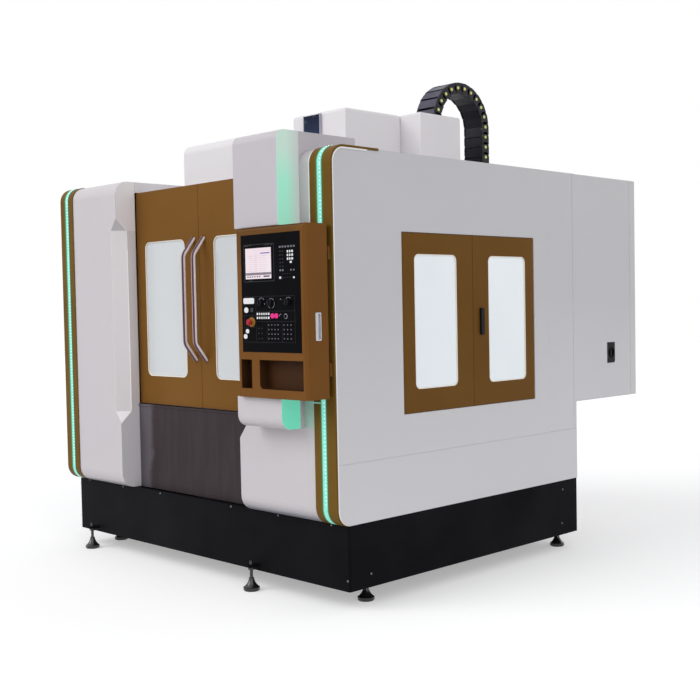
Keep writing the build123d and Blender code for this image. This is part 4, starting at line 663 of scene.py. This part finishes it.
chainValues = {
    "tall": 0.078, "pitch": 0.0701, "count": 29, "perLink": 8, "sideGap": 0.003, "headRise": 0.0263,
    "plateThick": 0.006, "round": 0.037, "inset": 0.0006, "outerReach": 0.42, "innerReach": 0.3, "innerLess": 0.0015,
    "bandInset": 2.2, "bandRise": 0.004, "bandBevel": 0.0012, "strapThick": 0.005, "strapGap": 0.005,
    "strapInset": 0.6, "strapDrop": 0.001, "strapBevel": 0.0015, "rib": (0.93, 0.8), "ribLong": 0.7,
    "ribDeep": 0.002, "ribBevel": 0.0008, "pinRadius": 0.0118, "pinTaper": 0.86, "pinProud": 0.003, "pinSink": 0.0005,
}


def halfStadiumInto(form, x0, x1, middle, reach, radius, steps=7):
    # a plate with one round end about the pin at "middle" and a straight end at "reach"
    way = 1 if reach > middle else -1
    ring = [(reach, -radius), (reach, radius)]
    for step in range(steps + 1):
        angle = math.pi / 2 + math.pi * step / steps
        ring.append((middle + way * radius * math.cos(angle), radius * math.sin(angle)))
    near = [form.verts.new((x0, y, z)) for y, z in ring]
    far = [form.verts.new((x1, y, z)) for y, z in ring]
    form.faces.new(near)
    form.faces.new(reversed(far))
    for index in range(len(ring)):
        after = (index + 1) % len(ring)
        form.faces.new((near[index], near[after], far[after], far[index]))


def linkMesh(halfWide):
    # side plates: an outer half round the near pin, a stepped-in half round the far pin
    v = chainValues
    form = bmesh.new()
    half = v["pitch"] / 2
    thick = v["plateThick"]
    step = halfWide - thick - v["inset"]
    for side in (-1, 1):
        outer = sorted((side * halfWide, side * (halfWide - thick)))
        inner = sorted((side * step, side * (step - thick)))
        halfStadiumInto(form, *outer, -half, half * v["outerReach"], v["round"])
        halfStadiumInto(form, *inner, half, -half * v["innerReach"], v["round"] - v["innerLess"])
    reach = halfWide - thick * v["bandInset"]
    low = -v["tall"] / 2 + v["bandRise"]
    band = half - v["strapGap"] / 2
    boxInto(form, (-reach, -band, low), (reach, band, low + v["strapThick"]), v["bandBevel"])
    return meshFrom("chainLink", form)


def strapMesh(halfWide):
    # crossbar on the outside of the bend, with a raised rib at each end
    v = chainValues
    form = bmesh.new()
    top = v["tall"] / 2
    face = top - v["strapDrop"]
    reach = halfWide - v["plateThick"] * v["strapInset"]
    strap = v["pitch"] / 2 - v["strapGap"] / 2
    boxInto(form, (-reach, -strap, face - v["strapThick"]), (reach, strap, face), v["strapBevel"])
    for side in (-1, 1):
        low, high = sorted(side * reach * share for share in v["rib"])
        along = strap * v["ribLong"]
        boxInto(form, (low, -along, top - v["ribDeep"]), (high, along, top), v["ribBevel"])
    return meshFrom("chainStrap", form)


def pinMesh(halfWide):
    v = chainValues
    form = bmesh.new()
    turn = Matrix.Rotation(math.pi / 2, 4, "Y")
    for side in (-1, 1):
        out = side * (halfWide + v["pinProud"] / 2 - v["pinSink"])
        middle = Matrix.Translation((out, -v["pitch"] / 2, 0))
        radii = (v["pinRadius"], v["pinRadius"] * v["pinTaper"])
        first, second = radii if side > 0 else reversed(radii)
        bmesh.ops.create_cone(form, cap_ends=True, segments=18, radius1=first, radius2=second,
                              depth=v["pinProud"], matrix=middle @ turn)
    return meshFrom("chainPin", form)


def chainPath():
    # up from the head, over the half-round bend and down to the fixed end
    v = chainValues
    low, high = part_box("cable_chain")
    bend = (high.y - low.y - v["tall"]) / 2
    middle = (low.x + high.x) / 2
    centreY = (low.y + high.y) / 2
    centreZ = high.z - v["tall"] / 2 - bend
    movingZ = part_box("head")[1].z + v["headRise"]
    rise = centreZ - movingZ - v["pitch"] / 2
    total = v["pitch"] * (v["count"] - 1)
    points = []
    steps = v["count"] * v["perLink"]
    for index in range(steps + 1):
        distance = total * index / steps
        if distance < rise:
            along = (centreY - bend, movingZ + v["pitch"] / 2 + distance)
        elif distance < rise + math.pi * bend:
            angle = math.pi - (distance - rise) / bend
            along = (centreY + bend * math.cos(angle), centreZ + bend * math.sin(angle))
        else:
            along = (centreY + bend, centreZ - (distance - rise - math.pi * bend))
        points.append(Vector((middle, *along)))
    return points, (high.x - low.x) / 2, centreY - bend, centreY + bend


chainPoints, chainHalf, movingLeg, fixedLeg = chainPath()
chainParts = {
    "chainLinks": (linkMesh, "chainPlastic"), "chainStraps": (strapMesh, "strapPlastic"),
    "chainPins": (pinMesh, "pinYellow"),
}
for name, (shape, paint) in chainParts.items():
    part = meshPiece(name + "Part", shape(chainHalf - chainValues["sideGap"]))
    inputs = {"Part": part, "Count": chainValues["count"], "Material": made[paint]}
    links = bakeTree(pathPiece(name, chainPoints), follow, inputs)
    bpy.data.objects.remove(part)
    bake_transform(links)
    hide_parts("cable_chain")
print("cable chain made")


# screws: pan heads with a sunk crown, set where the sheets are fixed

screwValues = {"radius": 0.006, "taper": 0.72, "proud": 0.0025, "segments": 14, "rim": 0.3, "sunk": 0.5, "seat": 0.45}


def screwMesh(axis):
    v = screwValues
    form = bmesh.new()
    bmesh.ops.create_cone(form, cap_ends=True, segments=v["segments"], radius1=v["radius"],
                          radius2=v["radius"] * v["taper"], depth=v["proud"])
    crown = max(form.faces, key=lambda face: face.calc_center_median().z)
    bmesh.ops.inset_region(form, faces=[crown], thickness=v["radius"] * v["rim"])
    for vertex in crown.verts:
        vertex.co.z -= v["proud"] * v["sunk"]
    turn = Vector((0, 0, 1)).rotation_difference(Vector(axis)).to_matrix().to_4x4()
    shift = Matrix.Translation(Vector(axis) * v["proud"] * v["seat"])
    bmesh.ops.transform(form, matrix=shift @ turn, verts=form.verts)
    return meshFrom("screwHead", form)


def screwRow(name, axis, points):
    head = meshPiece(name + "Part", screwMesh(axis))
    row = bakeTree(pointsPiece(name, points), scatter, {"Part": head, "Material": made["screwSteel"]})
    bpy.data.objects.remove(head)
    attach(row, "frame")


plinthLow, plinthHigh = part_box("plinth")
frontFace = plinthLow.y + 0.066
screwPlaces = {  # from the plinth's front left and front right corners
    "front": ((0.123, 0.333), (0.525, 0.331), (0.939, 0.331), (1.638, 0.331), (2.049, 0.331), (2.47, 0.331),
              (0.013, 0.3), (0.013, 0.083), (2.585, 0.057)),
    "side": ((0.157, 0.07), (1.882, 0.285), (1.872, 0.073)),
    "left": ((0.157, 0.07), (1.882, 0.285), (1.872, 0.073), (1.0, 0.07), (1.0, 0.285), (0.157, 0.285)),
}
frontScrews = [(plinthLow.x + across, frontFace, plinthLow.z + rise) for across, rise in screwPlaces["front"]]
screwRow("plinthFrontScrews", (0, -1, 0), frontScrews)
sideScrews = [(plinthHigh.x, frontFace + along, plinthLow.z + rise) for along, rise in screwPlaces["side"]]
screwRow("plinthSideScrews", (1, 0, 0), sideScrews)
leftScrews = [(plinthLow.x, frontFace + along, plinthLow.z + rise) for along, rise in screwPlaces["left"]]
screwRow("plinthLeftScrews", (-1, 0, 0), leftScrews)
print("screws set")


# light strips: a row of small lamps shines through each diffuser

stripValues = {"pitch": 0.02, "radius": 0.0026, "leftShift": 0.011, "rightShift": 0.008, "bend": 0.0915,
               "low": 0.56, "roofEnd": 0.05, "proud": 0.0016}
trimProud = 0.0053
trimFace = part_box("left_pillar")[0].y - trimProud
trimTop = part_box("left_pillar")[1].z + trimProud


def stripPath(middle, faceY, topZ):
    # up the front face, round the top bend and back along the roof
    v = stripValues
    centreY, centreZ = faceY + v["bend"], topZ - v["bend"]
    points = []
    height = v["low"]
    while height < centreZ:
        points.append((middle, faceY, height))
        height += v["pitch"]
    angle = 0.0
    while angle < math.pi / 2:
        points.append((middle, centreY - v["bend"] * math.cos(angle), centreZ + v["bend"] * math.sin(angle)))
        angle += v["pitch"] / v["bend"]
    along = centreY
    while along < centreY + v["roofEnd"]:
        points.append((middle, along, topZ))
        along += v["pitch"]
    return points


def lampDots():
    v = stripValues
    low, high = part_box("light_strips")
    form = bmesh.new()
    bmesh.ops.create_icosphere(form, subdivisions=1, radius=v["radius"])
    dot = meshPiece("lampDotPart", meshFrom("lampDot", form))
    middles = {"leftLampDots": low.x + stripHalf + v["leftShift"],
               "rightLampDots": high.x - stripHalf + v["rightShift"]}
    for name, middle in middles.items():
        points = stripPath(middle, trimFace - v["proud"], trimTop + v["proud"])
        row = bakeTree(pointsPiece(name, points), scatter, {"Part": dot, "Material": made["lampCore"]})
        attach(row, "frame")
    bpy.data.objects.remove(dot)


lampDots()
print("lamp dots set")


# operator panel, in millimetres from the plate's lower left corner

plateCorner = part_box("control_plate")[0]
plateSink = 0.2  # flat parts reach this far into the plate


def onPlate(across, rise, out=0.0):
    return plateCorner + Vector((across, -out, rise)) / 1000


def flatBars(name, paint, thick, bars):
    # each bar: left, right, low, high
    boxes = [(onPlate(left, low, thick), onPlate(farther, high, -plateSink)) for left, farther, low, high in bars]
    boxesPiece(name, boxes, paint, "control_box_body")


keyDepth = 1.6
keyBlocks = {  # upper left key, columns, rows, pitch, key size, paint
    "topKeys": ((310, 529), 6, 1, (21, 20), (13, 9), "keyGrey"),
    "sideKeys": ((310, 507), 2, 5, (19, 19), (8, 5), "keyDim"),
    "lowKeyPair": ((310, 412), 2, 1, (19, 19), (12, 9), "keyGrey"),
    "lowKeyFarPair": ((391, 412), 2, 1, (21, 19), (10, 8), "keyGrey"),
    "dimRow": ((328, 394), 4, 1, (18, 18), (6, 3), "keyDim"),
    "dimRowLow": ((328, 375), 4, 1, (18, 18), (6, 3), "keyDim"),
    "leftDots": ((134, 122), 2, 3, (24, 26), (6, 6), "keyDim"),
    "gridDots": ((212, 139), 4, 4, (24, 23), (6, 6), "keyGrey"),
    "gridDotsFar": ((330, 139), 3, 4, (26, 23), (6, 6), "keyGrey"),
}
for name, (corner, columns, rows, pitch, size, paint) in keyBlocks.items():
    values = {"Columns": columns, "Rows": rows, "Pitch Across": pitch[0] / 1000, "Pitch Down": pitch[1] / 1000,
              "Key Width": size[0] / 1000, "Key Height": size[1] / 1000, "Key Depth": keyDepth / 1000,
              "Material": made[paint]}
    block = bakeTree(pointsPiece(name, [onPlate(*corner, keyDepth / 2)]), keyRows, values)
    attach(block, "control_box_body")

# thin lines part the panel's fields, and dark webs part the white keys
keyGaps = [(131.5 + step * 17, 138.5 + step * 17, 166, 203) for step in range(5)]
keyGaps += [(374 + step * 16, 380 + step * 16, 461, 511) for step in range(2)]
keyGaps += [(362, 408, 491.5 - step * 18, 498.5 - step * 18) for step in range(2)]
panelBars = {
    "panelLines": ("lineGrey", "key_white", 0.5, [
        (18, 412, 284, 285.2), (18, 412, 50, 51.2), (18, 19.2, 50, 284), (412, 413.2, 50, 284),
        (112, 113.2, 50, 284), (112, 412, 208, 209.2), (112, 412, 156, 157.2), (199, 200.2, 50, 156),
        (313, 314.2, 50, 156), (18, 112, 186, 187.2), (18, 112, 128, 129.2)]),
    # these keys glow as painted light
    "brightKeys": ("keyLit", "key_white", 1.6, [(302, 314, 370, 381), (383, 397, 446, 456), (406, 416, 370, 379)]),
    "keyGaps": ("plateBlack", "black_plastic", 2.15, keyGaps),
    # the display: a faint page, a purple title, a grey bar and a row of soft keys under it
    "screenRim": ("plateBlack", "screen_face", 0.8, [(33, 252, 532, 542), (240, 252, 368, 532), (33, 240, 368, 375)]),
    "screenFrame": ("lineGrey", "screen_face", 0.4, [
        (24, 27, 360, 552), (27, 262, 549, 552), (259, 262, 360, 549), (27, 259, 360, 363)]),
    "frameMarks": ("keyDim", "screen_face", 0.5, [
        (30, 56, 543, 547), (70, 84, 544, 547), (188, 226, 544, 547), (236, 250, 538, 546), (60, 92, 364, 367)]),
    "screenTitle": ("screenPurple", "screen_face", 0.3, [(156, 228, 502, 507)]),
    "screenBar": ("screenGrey", "screen_face", 0.3, [(38, 238, 394, 407)]),
    "screenMarks": ("screenInk", "screen_face", 0.3, [
        *((x, x + 11, 383, 389) for x in (48, 66, 84, 104, 124, 142)), (178, 226, 383, 390)]),
    "screenRows": ("screenFaint", "screen_face", 0.25, [
        (x, x + wide, z, z + 1.6) for z in range(414, 500, 11) for x, wide in ((52, 40), (104, 26), (150, 52))]),
}
for name, (paint, slot, thick, bars) in panelBars.items():
    flatBars(name, paint, thick, bars)


def arcInto(form, centre, radius, wide, first, last, thick=0.4, steps=14):
    # a flat arc on the plate, angles in degrees from the plate's right, counter-clockwise
    inner, outer = radius - wide / 2, radius + wide / 2
    rows = []
    for edge, out in ((inner, thick), (outer, thick), (outer, 0.0), (inner, 0.0)):
        angles = [math.radians(first + (last - first) * step / steps) for step in range(steps + 1)]
        rows.append([onPlate(centre[0] + edge * math.cos(angle), centre[1] + edge * math.sin(angle), out)
                     for angle in angles])
    skinInto(form, rows, closed=False)


dialArcs = [  # centre across and up, radius, width, first and last angle
    (157, 252, 25, 1.6, 35, 150), (157, 252, 25, 2.4, 158, 172), (157, 252, 25, 2.4, -20, -5),
    (233, 248, 25, 1.4, 40, 140), (233, 248, 25, 1.4, 160, 250), (233, 248, 25, 1.4, -70, 20),
    (365, 252, 25, 1.6, 50, 88), (365, 252, 25, 1.6, 92, 130), (304, 262, 7, 2.0, 20, 110),
    (342, 182, 12, 3.2, -80, 130), (304, 184, 9, 2.0, 60, 190), (342, 182, 12, 1.0, 130, 280),
]
form = bmesh.new()
for across, rise, radius, wide, first, last in dialArcs:
    arcInto(form, (across, rise), radius, wide, first, last)
# the dial marks glow as painted light
formPiece("dialMarks", form, "markWhite", "control_box_body")
flatBars("purpleLamp", "keyDim", 2.0, [(70, 92, 206, 226)])
print("operator panel made")


# doors: bright beads round the panes, and dark seals in the gaps of the service doors

paneValues = {"seat": 0.012, "bead": 0.005, "joint": 0.0003, "deep": 0.006, "proud": 0.0002}


def roundedRing(form, place, low, high, radius, wide, thick, steps=6):
    # a flat ring with rounded corners in the plane of "place", outside the given corners
    rows = []
    corners = ((high[0], high[1], 0), (low[0], high[1], 90), (low[0], low[1], 180), (high[0], low[1], 270))
    for grow, out in ((0.0, thick), (wide, thick), (wide, 0.0), (0.0, 0.0)):
        row = []
        for cornerX, cornerZ, turn in corners:
            centreX = cornerX - math.copysign(radius, cornerX - (low[0] + high[0]) / 2)
            centreZ = cornerZ - math.copysign(radius, cornerZ - (low[1] + high[1]) / 2)
            for step in range(steps + 1):
                angle = math.radians(turn + 90 * step / steps)
                reach = radius + grow
                row.append(place(centreX + reach * math.cos(angle), centreZ + reach * math.sin(angle), out))
        rows.append(row)
    skinInto(form, rows, closed=True)


def onSide(x):
    return lambda across, rise, out: Vector((x + out, across, rise))


def onFront(y):
    return lambda across, rise, out: Vector((across, y - out, rise))


panes = (  # leaf, glass, body, corner radius, facing
    ("service_door_front", "service_glass_front", "service_front_body", 0.034, "side"),
    ("service_door_rear", "service_glass_rear", "service_rear_body", 0.034, "side"),
    ("left_door", "left_door_glass", "left_door_body", 0.042, "front"),
    ("right_door", "right_door_glass", "right_door_body", 0.042, "front"),
)
for leafName, glassName, body, radius, facing in panes:
    v = paneValues
    rim = v["seat"] + v["bead"]
    low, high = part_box(glassName)
    if facing == "side":
        place = onSide(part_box(leafName)[1].x - v["deep"])
        ends = ((low.y + rim, low.z + rim), (high.y - rim, high.z - rim))
    else:
        place = onFront(low.y)
        ends = ((low.x + rim, low.z + rim), (high.x - rim, high.z - rim))
    form = bmesh.new()
    roundedRing(form, place, *ends, radius - v["bead"], v["bead"] - v["joint"], v["deep"] + v["proud"])
    formPiece(leafName + "Bead", form, "beadCream", body)

sealValues = {"inset": 0.014, "thick": 0.0026, "short": 0.03, "depths": (0.004, 0.001),
              "middleDepths": (0.012, 0.002), "middleGaps": (0.0002, 0.0001), "middleShort": 0.02}
v = sealValues
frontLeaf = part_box("service_door_front")
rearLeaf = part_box("service_door_rear")
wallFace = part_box("right_wall")[1].x
bottom, top = frontLeaf[0].z + v["inset"], frontLeaf[1].z - v["inset"]
deep, shallow = (wallFace - depth for depth in v["depths"])
sealBars = [((deep, frontLeaf[0].y + v["short"], low), (shallow, rearLeaf[1].y - v["short"], high))
            for low, high in ((bottom - v["thick"], bottom), (top, top + v["thick"]))]
boxesPiece("serviceSeals", sealBars, "blackRubber", "frame")
deep, shallow = (wallFace - depth for depth in v["middleDepths"])
middleBar = ((deep, frontLeaf[1].y + v["middleGaps"][0], frontLeaf[0].z + v["middleShort"]),
             (shallow, rearLeaf[0].y - v["middleGaps"][1], frontLeaf[1].z - v["middleShort"]))
boxesPiece("serviceMiddleSeal", [middleBar], "blackRubber", "service_rear_body")


# painted light: a bright bar as a painted highlight on the left pillar's chamfer edge, and a cap of the right strip
# under the control box that glows mint as painted light

trimBars = {  # across, depth behind the trim's face and height, the cap's from the strip and the box
    "bead": ((-0.003, 0.0022), (0.0825, 0.0875), (0.945, 1.95)),
    "cap": ((-0.075, 0.002), (-0.0035, 0.001), (-0.031, -0.024)),
}


def trimBar(name, key, edge, foot, paint):
    across, depths, rises = trimBars[key]
    low, high = ((edge + across[end], trimFace + depths[end], foot + rises[end]) for end in (0, 1))
    boxesPiece(name, [(low, high)], paint, "frame", bevel=0.001)


trimBar("chamferBead", "bead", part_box("left_pillar")[1].x, 0.0, "edgeWhite")
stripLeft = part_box("light_strips")[1].x - 2 * stripHalf
trimBar("stripCap", "cap", stripLeft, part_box("control_box")[0].z, "mintLit")


# cheeks of the window unit

cheekValues = {"thick": 0.006, "proud": 0.001, "deep": 0.0158, "rise": 0.004, "bevel": 0.0008}
v = cheekValues
paneLow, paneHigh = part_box("cover_window")
spans = ((paneLow.x - v["thick"], paneLow.x), (paneHigh.x, paneHigh.x + v["thick"]))
front, back = paneLow.y - v["proud"], paneLow.y + v["deep"]
cheekBoxes = [((low, front, paneLow.z - v["rise"]), (high, back, paneHigh.z + v["rise"])) for low, high in spans]
boxesPiece("windowCheeks", cheekBoxes, "cheekGrey", "frame", v["bevel"])


# painted highlights: returns along the side walls' front edges and a bead beside the right trim, all in bright
# highlight white

bandValues = {"bend": 0.09, "toeDeep": 0.09, "toeHigh": 0.09, "proud": 0.005, "steps": 12}
returnValues = {"inside": 0.0002, "outside": 0.0045, "depths": (0.0122, 0.02), "roofEnd": 0.173}
beadValues = {"trimWide": 0.156, "across": (-0.0105, -0.0015), "depths": (0.0035, 0.0058), "roofEnd": 0.04,
              "above": 0.01}


def outlineBand(name, across, depths, roofEnd, lowest=0.0):
    # a band along the enclosure's side outline from toe to roof, its depths measured from the trim's face
    v = bandValues
    toeY, toeZ = trimFace + v["proud"] + v["toeDeep"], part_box("edge_trims")[0].z + v["toeHigh"]
    bendY, bendZ = trimFace + v["bend"], trimTop - v["bend"]
    angles = [math.pi / 2 * step / v["steps"] for step in range(v["steps"] + 1)]
    rings = []
    for depth in depths:
        toeReach, bendReach = v["toeDeep"] + v["proud"] - depth, v["bend"] - depth
        ring = [(toeY - toeReach * math.sin(angle), toeZ - v["toeHigh"] * math.cos(angle)) for angle in angles]
        ring += [(bendY - bendReach * math.cos(angle), bendZ + bendReach * math.sin(angle)) for angle in angles]
        ring.append((bendY + roofEnd, trimTop - depth))
        rings.append([(y, max(z, lowest)) for y, z in ring])
    near, far = across
    form = bmesh.new()
    section = ((near, rings[0]), (far, rings[0]), (far, rings[1]), (near, rings[1]))
    skinInto(form, [[(x, y, z) for y, z in ring] for x, ring in section], closed=False)
    bmesh.ops.remove_doubles(form, verts=form.verts, dist=0.00001)
    formPiece(name, form, "edgeWhite", "frame")


v = returnValues
for name, across in (("rightWallReturn", (plinthHigh.x - v["inside"], plinthHigh.x + v["outside"])),
                     ("leftWallReturn", (plinthLow.x - v["outside"], plinthLow.x + v["inside"]))):
    outlineBand(name, across, v["depths"], v["roofEnd"])
v = beadValues
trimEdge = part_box("edge_trims")[1].x - v["trimWide"]
beadAcross = [trimEdge + side for side in v["across"]]
outlineBand("pillarBead", beadAcross, v["depths"], v["roofEnd"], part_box("control_box")[1].z + v["above"])
print("seals and beads set")


# studio: pale floor, soft lamps, light from all round

studio = {
    "floorSize": 60.0, "floorTone": 0.74, "floorLift": 0.36, "skyTone": (0.97, 0.98, 1.0, 1.0), "skyStrength": 0.6,
    "lamps": {  # direction of travel, strength, softness in degrees
        "keyLamp": ((0.35, 0.75, -0.56), 1.32, 40),
        "sideLamp": ((-0.8, 0.3, -0.52), 0.66, 50),
    },
}


def cameraShare(tree):
    # 1 for rays from the camera, mirrors and glass
    rays = addNode(tree, "ShaderNodeLightPath")
    total = rays["Is Camera Ray"]
    for output in ("Is Glossy Ray", "Is Transmission Ray"):
        total = mathOf(tree, "ADD", total, rays[output], clamp=True)
    return total


def floorTones(tree):
    tone = studio["floorTone"]
    shader = {"Roughness": 0.9, "Specular IOR Level": 0.0, "Emission Color": (1, 1, 1, 1)}
    cloud = noiseOf(tree, objectPlace(tree), 0.4, 1.0)
    colour = mixOf(tree, cloud, (tone, tone, tone, 1), (tone * 0.99, tone * 0.99, tone * 0.99, 1))
    lift = mathOf(tree, "MULTIPLY", cameraShare(tree), studio["floorLift"])
    return {**shader, "Base Color": colour, "Emission Strength": lift}


form = bmesh.new()
bmesh.ops.create_grid(form, x_segments=1, y_segments=1, size=studio["floorSize"] / 2)
floor = meshPiece("studioFloor", meshFrom("studioFloor", form), painted("studioFloor", floorTones))
if floor.data.polygons[0].normal.z < 0:
    floor.data.flip_normals()

world = bpy.data.worlds.new("studioWorld")
bpy.context.scene.world = world
world.use_nodes = True
sky = world.node_tree
sky.nodes.clear()
soft = addNode(sky, "ShaderNodeBackground", {"Color": studio["skyTone"], "Strength": studio["skyStrength"]})
white = addNode(sky, "ShaderNodeBackground", {"Color": (1, 1, 1, 1), "Strength": 1.0})
both = addNode(sky, "ShaderNodeMixShader", {"Fac": cameraShare(sky), 1: soft[0], 2: white[0]})
addNode(sky, "ShaderNodeOutputWorld", {"Surface": both[0]})

for name, (direction, strength, softness) in studio["lamps"].items():
    lampData = bpy.data.lights.new(name, "SUN")
    lampData.energy = strength
    lampData.angle = math.radians(softness)
    lamp = linked(name, lampData)
    lamp.rotation_euler = Vector(direction).to_track_quat("-Z", "Y").to_euler()
bpy.context.scene.view_settings.view_transform = "Standard"
print("studio ready")
